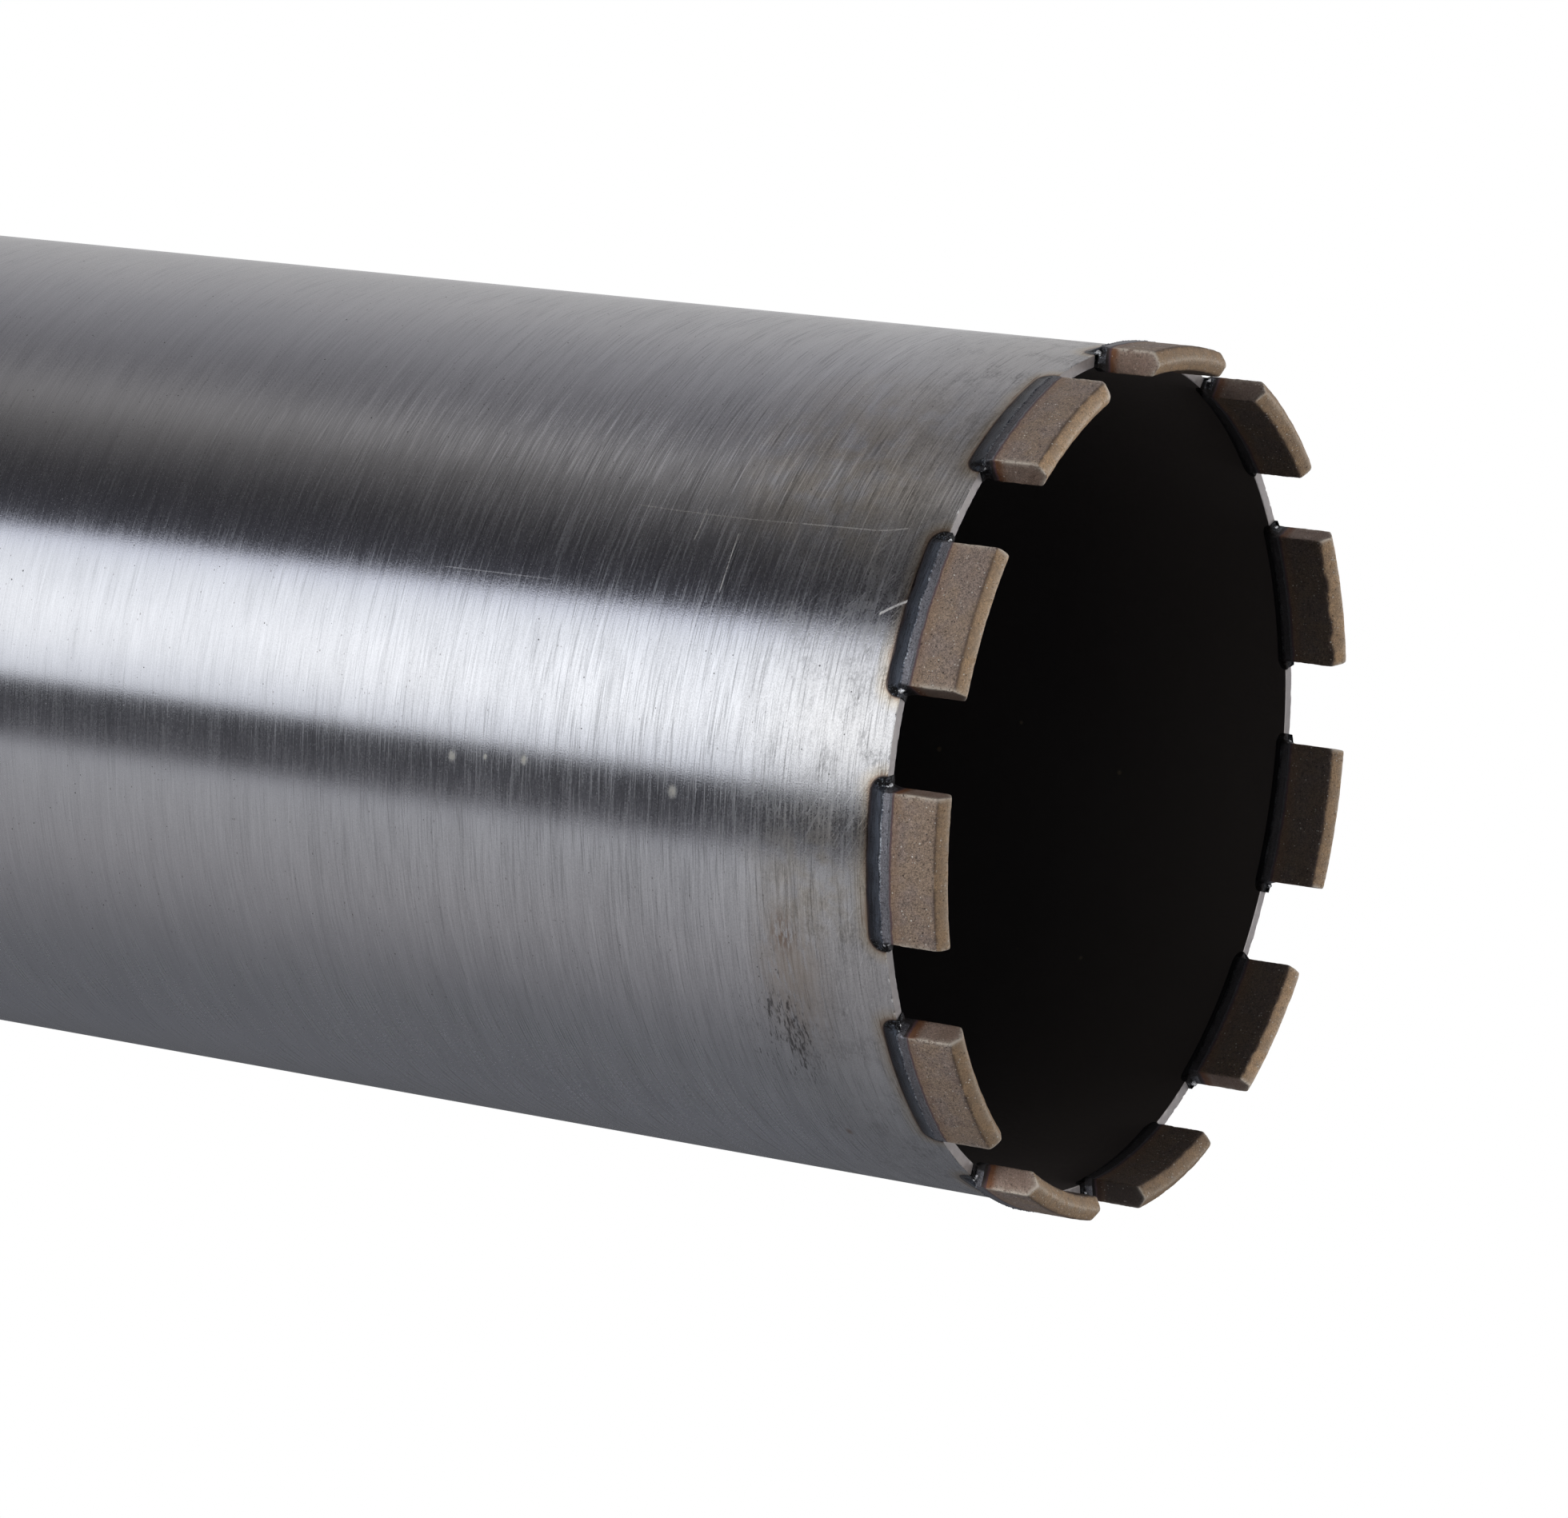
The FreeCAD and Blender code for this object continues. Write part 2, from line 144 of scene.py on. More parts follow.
def new_piece(name, points, faces, materials, sharp=35, attributes=None):
    """A mesh object from arrays, with its attributes, shaded smooth up to an angle."""
    mesh = bpy.data.meshes.new(name)
    mesh.from_pydata(points.reshape(-1, 3).tolist(), [], faces)
    for material in materials:
        mesh.materials.append(material)
    for label, values in (attributes or {}).items():
        layer = mesh.attributes.new(label, "FLOAT", "POINT")
        layer.data.foreach_set("value", np.asarray(values, np.float32).ravel())
    mesh.shade_smooth()
    mesh.set_sharp_from_angle(angle=math.radians(sharp))
    mesh.update()
    return new_object(name, mesh)


def grid_faces(rows, columns, close_rows, close_columns):
    """Quads over a grid of points that lie row after row."""
    faces = []
    for i in range(rows if close_rows else rows - 1):
        for j in range(columns if close_columns else columns - 1):
            k, m = (i + 1) % rows, (j + 1) % columns
            faces.append((i * columns + j, i * columns + m, k * columns + m, k * columns + j))
    return faces


def rod_faces(rows, columns):
    """Quads round a rod whose points run along it, row after row, and its two ends."""
    start = [i * columns for i in range(rows)]
    end = [i + columns - 1 for i in reversed(start)]
    return grid_faces(rows, columns, True, False) + [start, end]


def box_lattice(counts):
    """Points on the faces of a lattice box, as whole numbers, and the quads between them."""
    corners = []
    for axis in range(3):
        one, two = (axis + 1) % 3, (axis + 2) % 3
        for side in (0, counts[axis]):
            i, j = np.meshgrid(range(counts[one]), range(counts[two]), indexing="ij")
            i, j = i.ravel(), j.ravel()
            ring = [(i, j), (i + 1, j), (i + 1, j + 1), (i, j + 1)]
            if side == 0:
                ring.reverse()
            quad = np.empty((len(i), 4, 3), int)
            for place, (a, b) in enumerate(ring):
                quad[:, place, axis] = side
                quad[:, place, one] = a
                quad[:, place, two] = b
            corners.append(quad)
    corners = np.concatenate(corners)
    points, index = np.unique(corners.reshape(-1, 3), axis=0, return_inverse=True)
    return points, index.reshape(-1, 4).tolist()


# Shaders


class Field:
    """A shader value that can be calculated with."""

    def __init__(self, shader, socket):
        self.shader = shader
        self.socket = socket


def add_arithmetic(name, operation):
    def forward(self, other):
        return self.shader.math(operation, self, other)

    def backward(self, other):
        return self.shader.math(operation, other, self)

    setattr(Field, f"__{name}__", forward)
    setattr(Field, f"__r{name}__", backward)


add_arithmetic("add", "ADD")
add_arithmetic("sub", "SUBTRACT")
add_arithmetic("mul", "MULTIPLY")
add_arithmetic("truediv", "DIVIDE")


class Shader:
    """The nodes of a material or of the world, with short ways to make them."""

    def __init__(self, name, kind="materials"):
        self.owner = getattr(bpy.data, kind).new(name)
        self.owner.use_nodes = True
        self.tree = self.owner.node_tree
        self.tree.nodes.clear()

    def node(self, kind, *values, **settings):
        """A node with these settings, and with these values in its first inputs."""
        made = self.tree.nodes.new(kind)
        for name, value in settings.items():
            setattr(made, name, value)
        for socket, value in zip(made.inputs, values):
            self.put(socket, value)
        return made

    def put(self, socket, value):
        """Links or sets a socket. Fields in brackets make a vector, and a node's first
        output stands for the node."""
        if isinstance(value, tuple) and any(isinstance(part, Field) for part in value):
            value = self.node("ShaderNodeCombineXYZ", *value)
        if isinstance(value, Field):
            value = value.socket
        elif isinstance(value, bpy.types.Node):
            value = value.outputs[0]
        if isinstance(value, bpy.types.NodeSocket):
            self.tree.links.new(value, socket)
        elif socket.type == "VECTOR":
            socket.default_value = value[:3]
        else:
            socket.default_value = value

    def math(self, operation, *values):
        made = self.node("ShaderNodeMath", *values, operation=operation)
        return Field(self, made.outputs[0])

    def coordinates(self, kind):
        source = self.node("ShaderNodeTexCoord").outputs[kind]
        parts = self.node("ShaderNodeSeparateXYZ", source)
        return [Field(self, part) for part in parts.outputs]

    def place(self):
        """The point's place in the row frame, in millimetres, as three fields."""
        return [part * (1 / MM) for part in self.coordinates("Object")]

    def noise(self, vector, scale=1, detail=2, roughness=0.5):
        # The second input is for four dimensions only.
        made = self.node("ShaderNodeTexNoise", vector, 0, scale, detail, roughness)
        return Field(self, made.outputs[0])

    def cells(self, vector, scale):
        """Distance to the nearest cell's middle, and a random number for each cell."""
        made = self.node("ShaderNodeTexVoronoi", vector, 0, scale)
        parts = self.node("ShaderNodeSeparateColor", made.outputs["Color"])
        return Field(self, made.outputs["Distance"]), Field(self, parts.outputs[0])

    def dots(self, vector, scale, rare, growth, soft):
        """Dots in the cells whose random number is over rare, and larger the more it is."""
        distance, random = self.cells(vector, scale)
        return self.step(distance - (random - rare) * growth, soft, -soft)

    def few_dots(self, vector, scale, size, rare, common):
        """Dots of one size, in a few cells."""
        distance, random = self.cells(vector, scale)
        return self.step(distance, size, size * 0.4) * self.step(random, rare, common)

    def greatest(self, *fields):
        top, *others = fields
        for other in others:
            top = self.math("MAXIMUM", top, other)
        return top

    def length(self, one, two):
        return self.math("SQRT", one * one + two * two)

    def step(self, value, low, high):
        """0 up to low, 1 from high, and smooth between them. High may be the lower one."""
        limits = (high, low, 1, 0) if high < low else (low, high, 0, 1)
        made = self.node("ShaderNodeMapRange", value, *limits, interpolation_type="SMOOTHSTEP")
        return Field(self, made.outputs[0])

    def mix(self, share, first, second):
        """The first colour where the share is 0, and the second where it is 1."""
        made = self.node("ShaderNodeMix", data_type="RGBA")
        self.put(made.inputs["Factor"], share)
        # The sockets for colours come after those for numbers and vectors.
        self.put(made.inputs[6], first)
        self.put(made.inputs[7], second)
        return made.outputs[2]

    def shade(self, colour, value):
        """The colour times a value."""
        made = self.node("ShaderNodeVectorMath", operation="SCALE")
        self.put(made.inputs[0], colour)
        self.put(made.inputs["Scale"], value)
        return made

    def attribute(self, name):
        made = self.node("ShaderNodeAttribute", attribute_name=name)
        return Field(self, made.outputs["Fac"])

    def bump(self, height, depth):
        """A bumped normal from a height of 0 to 1 that stands for a depth in millimetres."""
        made = self.node("ShaderNodeBump")
        made.inputs["Distance"].default_value = depth * MM
        self.put(made.inputs["Height"], height)
        return made

    def principled(self, **inputs):
        """The finished material, with one principled shader and these inputs."""
        made = self.node("ShaderNodeBsdfPrincipled")
        for name, value in inputs.items():
            self.put(made.inputs[name.replace("_", " ")], value)
        return self.finish(made)

    def finish(self, surface, kind="Material"):
        self.node("ShaderNodeOutput" + kind, surface)
        return self.owner


def weld_distance(shader, x, y, z):
    """How far a point lies outside the nearest weld's outline, and its angle on the tube."""
    angle = shader.math("ARCTAN2", y, x)
    turns = angle / STEP
    local = turns - shader.math("FLOOR", turns + 0.5)
    along = local * (STEP * TUBE_OUT) - WELD_SHIFT
    straight = SEGMENT_HALF + WELD_OVERRUN - WELD_CORNER
    over = shader.greatest(shader.math("ABSOLUTE", along) - straight, 0)
    up = shader.greatest(z - (WELD_TOE - WELD_CORNER), 0)
    return shader.length(over, up) - WELD_CORNER, angle


def spot(shader, angle, z, at_degrees, at_height, half_angle, half_height):
    """1 in the middle of an oval on the tube, and 0 from its edge on."""
    across = (angle * (180 / math.pi) - at_degrees) / half_angle
    up = (z - at_height) / half_height
    return shader.step(shader.length(across, up), 1, 0)


def line_mark(shader, angle, z, start, end, half_width, bow):
    """1 on a thin line between two (degrees, height) places on the tube, bowed in angle."""
    arc = math.radians(1) * TUBE_OUT
    run, rise = (end[0] - start[0]) * arc, end[1] - start[1]
    length = math.hypot(run, rise)
    across = (angle * (180 / math.pi) - start[0]) * arc
    up = z - start[1]
    along = (across * (run / length) + up * (rise / length)) / length
    side = across * (-rise / length) + up * (run / length)
    side -= along * (1 - along) * (4 * bow)
    inside = shader.step(along, -0.02, 0.04) * shader.step(along, 1.02, 0.9)
    return inside * shader.step(shader.math("ABSOLUTE", side), half_width, half_width * 0.3)


# Dried drops: degrees round the axis, height and half size.
DROPS = ((-91.9, 90.3, 1.1), (-91.1, 76.7, 1), (-92.4, 49, 1.3), (-91.4, 84, 0.6))
# A thin brownish film: degrees, height and half sizes (degrees, millimetres).
OLIVE = ((-46, 30, 30, 34), (-101, 22, 16, 18), (60, 40, 40, 40))
# Paler or darker patches: degrees, height, half sizes, and how much paler.
PATCHES = ((-131, 14, 20, 17, 0.24), (-35, 14, 16, 17, -0.13))
# Scratches across the grinding: both ends (degrees, height), half width, bow and how clear.
MARKS = (
    ((-55.2, 67), (-55.2, 36.2), 0.13, -0.35, 0.8),
    ((-55.2, 36.8), (-54.9, 22.6), 0.14, 0, 1.2),
    ((-54.9, 23.1), (-54, 17.9), 0.15, -0.1, 1.4),
    ((-66.4, 18), (-63.4, 11.8), 0.3, 0.2, 1.4),
    ((-67.3, 98), (-67.2, 77.4), 0.12, 0, 0.4),
    ((-54.7, 54.2), (-59.6, 54.4), 0.14, 0.1, 1.3),
    ((-57.7, 47), (-66.4, 46.8), 0.14, 0.1, 1.3),
)


def scratches(shader, place, tilt, width, length, low, high):
    """A mask of fine lines that run nearly round the axis. Sizes are in millimetres."""
    x, y, z = place
    climb = z + x * tilt[0] + y * tilt[1]
    lines = shader.noise((x / length, y / length, climb / width), detail=0.8)
    return shader.step(lines, low, high)


def ground_steel():
    """The tube: steel ground round the axis, with scratches, stains and heat tint."""
    s = Shader("ground_steel")
    place = s.place()
    x, y, z = place
    distance, angle = weld_distance(s, x, y, z)

    def oval(*sizes):
        return spot(s, angle, z, *sizes)

    near_rim = s.step(z, 46, RIM + 6)
    strength = 1 - s.step(z, 30, 170) * 0.65
    calm = 1 - s.step(z, 36, 170) * 0.4
    cloud = s.noise((x, y, z * 0.6), scale=0.045, detail=4, roughness=0.6)
    blotch = s.noise((x, y, z), scale=0.2, detail=3, roughness=0.6)
    grain = s.noise((x, y, z), scale=3.6, roughness=0.7) - 0.5

    # Grinding marks: broad soft bands, fine streaks, then lines of several kinds.
    soft = s.noise((x / 30, y / 30, (z + x * 0.03 - y * 0.02) / 2.4)) - 0.5
    streak = s.noise((x / 9, y / 9, (z + x * 0.03) / 0.3), detail=1.5) - 0.5
    medium = scratches(s, place, (0.035, 0.02), 0.34, 14, 0.58, 0.7)
    fine = scratches(s, place, (-0.03, 0.03), 0.22, 8, 0.58, 0.68)
    crossed = scratches(s, place, (0.09, -0.06), 0.26, 8, 0.6, 0.7)
    rare = scratches(s, place, (0.05, -0.03), 0.3, 18, 0.67, 0.73) * 0.8
    dark = scratches(s, place, (0.02, -0.03), 0.28, 12, 0.58, 0.7) * strength
    hatched = scratches(s, place, (0.6, 0.35), 0.24, 4, 0.62, 0.72) * near_rim
    bright = s.greatest(medium * 0.6, crossed * 0.5, rare) * strength
    # One stretch round the tube, beside the reflected bright panel, has the clearest scratches,
    # partly real and partly painted glints; two, away from it, have the faintest.
    clear_glinting_part = oval(-50, 60, 18, 150)
    bright *= 0.45 + clear_glinting_part * 1.5
    bright = s.greatest(bright, hatched * 0.5)
    # Crisp scratches in that stretch, painted bright as glints.
    crisp_glints = scratches(s, place, (0.05, 0), 0.2, 7, 0.59, 0.66) * clear_glinting_part
    quiet = 1 - oval(-6, 60, 40, 200) * 0.6
    quiet -= oval(-135, 60, 34, 200) * 0.4
    lines = s.greatest(fine, bright * 0.5) * strength

    steel = s.mix(cloud, srgb(186, 188, 192), srgb(200, 201, 203))
    lively = (calm + near_rim * 0.6) * quiet
    tone = 0.9 + soft * calm * 0.34 + (streak * 0.36 + grain * 0.66) * lively
    tone += (bright * 0.62 - dark * 0.2) * quiet + crisp_glints * 0.36 - dark * clear_glinting_part * 0.08
    for *where, paler in PATCHES:
        tone += oval(*where) * paler
    steel = s.shade(steel, tone)
    olive = s.greatest(*(oval(*where) for where in OLIVE))
    olive *= s.step(cloud * 0.5 + blotch * 0.5, 0.38, 0.56)
    warm = s.greatest(near_rim * 0.25, olive)
    steel = s.mix(warm * 0.5, steel, s.shade(srgb(182, 170, 146), tone))

    # Heat tint beside the welds: straw outside, brown, then a dark line at the weld's edge.
    ragged = distance - lines * 0.4 + (blotch - 0.5) * 1.6 - streak * 0.8
    steel = s.mix(s.step(ragged, 3, 0.3) * 0.4, steel, srgb(184, 164, 124))
    steel = s.mix(s.step(ragged, 1, 0.2) * 0.6, steel, srgb(126, 98, 76))
    steel = s.mix(s.step(distance, 0.4, 0.12) * 0.9, steel, srgb(56, 48, 48))

    # Pits, dark or filled with pale dust.
    pits = s.dots((x, y, z), 0.62, 0.72, 0.34, 0.02)
    steel = s.mix(pits * 0.65, steel, srgb(76, 70, 70))
    specks = s.dots((x * 0.7, y * 0.7, z * 1.3), 1.5, 0.76, 0.9, 0.04)
    steel = s.mix(specks * s.step(blotch, 0.36, 0.56) * 0.6, steel, srgb(88, 82, 80))
    dust = s.dots((x, y, z + 90), 0.5, 0.86, 0.4, 0.02)
    steel = s.mix(dust * 0.5, steel, srgb(226, 226, 230))

    # The stain on the near side: a beige film with brown specks above and black ones below.
    smear = s.noise((x * 0.2, y * 0.2, (z - x * 0.06) * 1.1), detail=4, roughness=0.7)
    dirt = s.noise((x * 0.4, y * 0.4, z * 2), detail=4, roughness=0.75)
    brown = oval(-115, 28.5, 17, 9.5) * s.step(smear, 0.34, 0.54)
    wide = oval(-124.5, 33, 14, 12)
    core = oval(-122, 33.2, 6, 4)
    trail = oval(-126, 29.6, 10, 4.5)
    black = dirt + wide * 0.1 + core * 0.08 + trail * 0.08
    black = s.step(black, 0.63, 0.74) * s.step(wide, 0.02, 0.3)
    rust = oval(-109, 29.4, 4.5, 3.6) * s.step(dirt, 0.42, 0.54)
    brown_spot = oval(-143.9, 28.8, 1.2, 0.9)
    steel = s.mix(brown * 0.42, steel, srgb(178, 160, 136))
    steel = s.mix(black * 0.7, steel, srgb(78, 76, 76))
    steel = s.mix(s.greatest(brown_spot, rust) * 0.7, steel, srgb(124, 94, 68))

    # Dried drops on the near side, and scratches across the grinding.
    drops = [oval(*middle, size, size * 0.9) for *middle, size in DROPS]
    drops = s.greatest(*drops) * s.step(dirt, 0.3, 0.5)
    steel = s.mix(drops, steel, srgb(190, 188, 180))
    marks = s.greatest(*(line_mark(s, angle, z, *line) * clear for *line, clear in MARKS))
    marks = s.math("MINIMUM", marks * (0.5 + s.step(grain + dirt, 0.34, 0.56) * 0.5), 1)
    steel = s.mix(marks * 0.9, steel, srgb(246, 244, 240))

    # Rubbed places near the rim.
    slanted = (x * 1.2 + z * 0.5, y * 1.2 + z * 0.6, z * 2.2)
    scuff = s.noise(slanted, detail=4, roughness=0.8)
    scuffed = s.step(blotch, 0.46, 0.64) * near_rim * s.step(scuff, 0.42, 0.62)

    roughness = 0.21 + soft * 0.08 + near_rim * 0.05 + streak * 0.16 + grain * 0.3
    roughness += lines * 0.2 + bright * 0.08
    roughness += pits * 0.3 + dust * 0.3 + scuffed * 0.3
    roughness += brown * 0.08 + black * 0.2 + drops * 0.2 + marks * 0.5
    height = lines * 0.4 + bright * 0.3 + streak * 0.6 + grain * 0.7 - dark * 0.5
    height = height * lively - pits * 0.6 - scuffed * 0.3
    return s.principled(
        Base_Color=steel,
        Metallic=1 - drops * 0.7,
        Roughness=roughness,
        Anisotropic=1,
        Anisotropic_Rotation=0.25,
        Normal=s.bump(height, 0.012),
        Tangent=s.node("ShaderNodeTangent", direction_type="RADIAL", axis="Z"),
    )


def cut_steel():
    """The tube's bare end faces: cut steel with burrs."""
    s = Shader("cut_steel")
    x, y, z = s.place()
    grain = s.noise((x, y, z), scale=1.4, detail=4, roughness=0.7)
    cloud = s.noise((x, y, z), scale=0.03, detail=1)
    steel = s.shade(srgb(204, 199, 197), (0.75 + grain * 0.45) * (0.5 + cloud * 0.75))
    return s.principled(
        Base_Color=steel, Metallic=1, Roughness=grain * 0.3 + 0.38, Normal=s.bump(grain, 0.05)
    )


def inside_black():
    """The tube's inside: matt black with a few pale specks of dust."""
    s = Shader("inside_black")
    x, y, z = s.place()
    cloud = s.noise((x, y, z), scale=0.05, detail=3)
    grain = s.noise((x, y, z), scale=1.2, detail=3)
    specks = s.few_dots((x, y, z), 0.16, 0.1, 0.8, 0.86)
    low = s.step(z, 60, 12)
    colour = s.mix(cloud, srgb(58, 55, 56), srgb(76, 73, 73))
    colour = s.mix(low * 0.5, colour, srgb(116, 108, 104))
    colour = s.mix(specks * 0.6, colour, srgb(170, 156, 132))
    return s.principled(
        Base_Color=colour,
        Roughness=grain * 0.2 + 0.55,
        Specular_IOR_Level=0.3,
        Normal=s.bump(grain, 0.03),
    )


def sintered_matrix():
    """A segment: sintered metal with diamond grains and pores, steel-grey at its foot."""
    s = Shader("sintered_matrix")
    x, y, z = s.place()
    roof, end, end_line, roof_line, tone, turn = (
        s.attribute(name) for name in ("roof", "end", "end_line", "roof_line", "tone", "turn")
    )
    shift = turn * 31
    place = (x + shift, y, z)
    cloud = s.noise(place, scale=0.22, detail=3, roughness=0.6)
    patch = s.noise((x, y + shift, z), scale=0.5, detail=4, roughness=0.65)
    grain = s.noise(place, scale=2.8, detail=4, roughness=0.8) - 0.5
    dust = s.noise(place, scale=6, roughness=0.8) - 0.5
    on_roof, on_end = s.step(roof, 0.3, 0.7), s.step(end, 0.3, 0.7)

    face = s.mix(s.step(cloud, 0.38, 0.62), srgb(152, 133, 116), srgb(148, 132, 122))
    face = s.mix(s.step(patch, 0.5, 0.7) * 0.5, face, srgb(120, 102, 94))
    ground = s.mix(s.step(patch, 0.35, 0.65), srgb(168, 141, 112), srgb(150, 127, 103))
    colour = s.mix(on_roof, face, ground)
    burnt = s.mix(s.step(cloud, 0.35, 0.65), srgb(138, 117, 104), srgb(152, 132, 120))
    # The tone pales or darkens the ends and the inner faces with painted light and shade.
    colour = s.shade(s.mix(on_end, colour, burnt), tone)

    # Press marks: faint curved lines, in places.
    wavy = s.math("SINE", z * 5 + x * 0.6 + patch * 16)
    pressed = s.step(wavy, 0.1, 0.9) * s.step(cloud, 0.5, 0.6) * (1 - on_roof)
    bare = 1 - on_roof * 0.35 - on_end * 0.35
    colour = s.shade(colour, 1 + (grain * 3 + dust * 2.2) * bare - pressed * 0.14)

    # A dark line where the roof meets the outer face, and bright rubbed corners at the ends.
    colour = s.mix(roof_line * s.step(patch, 0.3, 0.5) * 0.65, colour, srgb(76, 60, 52))
    rubbed = end_line * s.step(grain * 0.9 + patch, 0.3, 0.52)
    colour = s.mix(rubbed * 0.8, colour, s.shade(srgb(222, 212, 198), tone))

    # Heat colours towards the weld: orange brown, a purple line, then blue grey steel.
    warped = z + (patch - 0.5) * 0.7
    colour = s.mix(s.step(warped, 6.6, 8.8) * 0.35, colour, srgb(138, 104, 76))
    hot = on_end * s.step(warped + (cloud - 0.5) * 3, 7, 8.5)
    colour = s.mix(hot * 0.85, colour, s.shade(srgb(118, 74, 44), tone))
    colour = s.mix(s.step(warped, 8.75, 9.05) * 0.85, colour, srgb(86, 66, 74))
    foot = s.mix(on_end * 0.9, srgb(110, 110, 115), srgb(52, 42, 38))
    foot = s.shade(foot, (1 + grain * 2.4 + dust * 1.6) * tone)
    colour = s.mix(s.step(warped, 9.1, 9.4), colour, foot)

    # Pores where grains fell out, and grains that sparkle.
    body = s.step(z, 9, 8.6)
    pores = s.dots(place, 1.3, 0.56, 0.5, 0.03) * body
    fine_pores = s.dots(place, 3.3, 0.5, 0.7, 0.05) * body
    colour = s.mix(pores * 0.7 * bare, colour, srgb(52, 42, 40))
    colour = s.mix(fine_pores * 0.6 * bare, colour, srgb(76, 64, 60))
    grit = s.dots((x, y + shift, z + 50), 2.3, 0.62, 0.9, 0.04) * body
    grit *= s.step(patch + grain, 0.44, 0.54) * (1 - on_end * 0.7)
    colour = s.mix(grit * 0.85, colour, srgb(250, 244, 234))

    height = grain * 0.9 + dust * 0.5 - pores * 0.7 - fine_pores * 0.4 + grit * 0.4
    return s.principled(
        Base_Color=colour,
        Metallic=0.35,
        Roughness=0.55 - grit * 0.3 + grain * 0.3,
        Normal=s.bump(height, 0.16),
    )


def weld_oxide():
    """The laser weld: a dark oxide band on the tube, a rippled bead line, a grey foot."""
    s = Shader("weld_oxide")
    x, y, z = s.place()
    across, inset, blob, tone = (s.attribute(name) for name in ("across", "inset", "blob", "tone"))
    drawn = s.noise((x * 0.3, y * 0.3, z * 4.5), detail=3, roughness=0.7) - 0.5
    grain = s.noise((x, y, z), scale=3.8, detail=4, roughness=0.8) - 0.5
    cloud = s.noise((x, y, z), scale=0.3)
    rough_part = s.step(cloud, 0.42, 0.58)

    band = s.mix(s.step(across, 0.85, 0.35), srgb(46, 48, 54), srgb(76, 82, 92))
    band = s.shade(band, 1 + drawn * 3 + grain * (0.8 + rough_part * 2.2))
    foot = s.shade(srgb(120, 120, 125), 1 + grain * 3.2 + drawn * 0.8)
    colour = s.mix(s.step(across, 0.14, 0.2), foot, band)
    bead = s.step(across, 0.13, 0.18) * s.step(across, 0.26, 0.2)
    patchy = s.noise((x, y, z), scale=0.7)
    shine = bead * s.step(grain * 1.8 + drawn * 0.6 + patchy, 0.5, 0.68)
    colour = s.mix(shine * 0.75, colour, srgb(184, 190, 196))
    seam = s.step(across, 0.3, 0.27) * s.step(across, 0.2, 0.26) * s.step(patchy, 0.35, 0.5)
    colour = s.mix(seam * 0.5, colour, srgb(30, 30, 34))
    toe = s.step(across, 0.86, 0.97)
    colour = s.mix(toe * 0.75, colour, srgb(48, 42, 44))
    # Past the segment's ends: dark pits and painted shade in the crevice there.
    past_end = s.step(inset, 2.3, 1.2)
    pits_and_shade = past_end * s.step(s.noise((x, y, z), scale=0.9), 0.44, 0.5)
    crevice_shade = past_end * s.step(across, 0.5, 0.3) * 0.75
    colour = s.mix(s.greatest(pits_and_shade, crevice_shade), colour, srgb(16, 15, 16))
    # Painted glints in that crevice.
    colour = s.mix(past_end * s.step(grain, 0.1, 0.16) * 0.8, colour, srgb(196, 206, 210))
    colour = s.mix(blob, colour, srgb(206, 208, 210))
    # Painted shade: inside the tube, the weld is as black as the wall.
    inside_shade = s.step(s.length(x, y), TUBE_IN + 0.6, TUBE_IN + 0.2)
    colour = s.shade(s.mix(inside_shade * 0.8, colour, srgb(34, 30, 28)), tone)

    roughness = 0.34 + grain * 0.5 + drawn * 0.3 - shine * 0.08 - blob * 0.24 + inside_shade * 0.2
    height = drawn * 0.7 + grain * (0.5 + rough_part * 0.5)
    return s.principled(
        Base_Color=colour, Metallic=0.9, Roughness=roughness, Normal=s.bump(height, 0.1)
    )


def turned_steel():
    """The plate and the hub: turned rings on round faces, milled flats, and the plate's underside
    painted black as shade.
    """
    s = Shader("turned_steel")
    x, y, z = s.place()
    reach = s.length(x, y)
    rings = s.noise((reach * 2.4, z * 2.4, 0), detail=3, roughness=0.6)
    cloud = s.noise((x, y, z), scale=0.09, detail=4, roughness=0.65)
    pits = s.few_dots((x, y, z), 0.6, 0.2, 0.7, 0.8)
    steel = s.mix(cloud, srgb(172, 172, 174), srgb(196, 194, 192))
    steel = s.shade(steel, 0.82 + rings * 0.36)
    steel = s.mix(s.step(cloud, 0.56, 0.72) * 0.4, steel, srgb(150, 134, 112))
    # Heat tint round the weld that joins the hub to the plate.
    tint = s.step(reach, 36, 30) * s.step(z, PLATE_TOP + 9, PLATE_TOP + 5)
    steel = s.mix(tint * 0.6, steel, srgb(118, 96, 84))
    steel = s.mix(pits * 0.5, steel, srgb(84, 78, 74))
    # Painted shade: the plate's underside, deep in the tube, is painted near black.
    below = s.step(z, PLATE_BOTTOM + 0.4, PLATE_BOTTOM + 0.2)
    steel = s.mix(below, steel, srgb(26, 25, 26))
    return s.principled(
        Base_Color=steel,
        Metallic=1 - below * 0.9,
        Roughness=0.3 + cloud * 0.14 + rings * 0.08 + below * 0.2,
        Normal=s.bump(rings - pits * 0.5, 0.03),
    )


def bead_steel():
    """The two arc welds at the hub end: rippled, with brown and blue heat tint."""
    s = Shader("bead_steel")
    x, y, z = s.place()
    grain = s.noise((x, y, z), scale=1.3, detail=4, roughness=0.7)
    cloud = s.noise((x, y, z), scale=0.16, detail=3)
    steel = s.mix(s.step(cloud, 0.38, 0.62), srgb(150, 144, 138), srgb(112, 108, 116))
    steel = s.mix(s.step(grain, 0.58, 0.75) * 0.6, steel, srgb(104, 78, 58))
    steel = s.shade(steel, 0.7 + grain * 0.5)
    return s.principled(
        Base_Color=steel, Metallic=0.9, Roughness=0.32 + grain * 0.25, Normal=s.bump(grain, 0.06)
    )


# Pieces


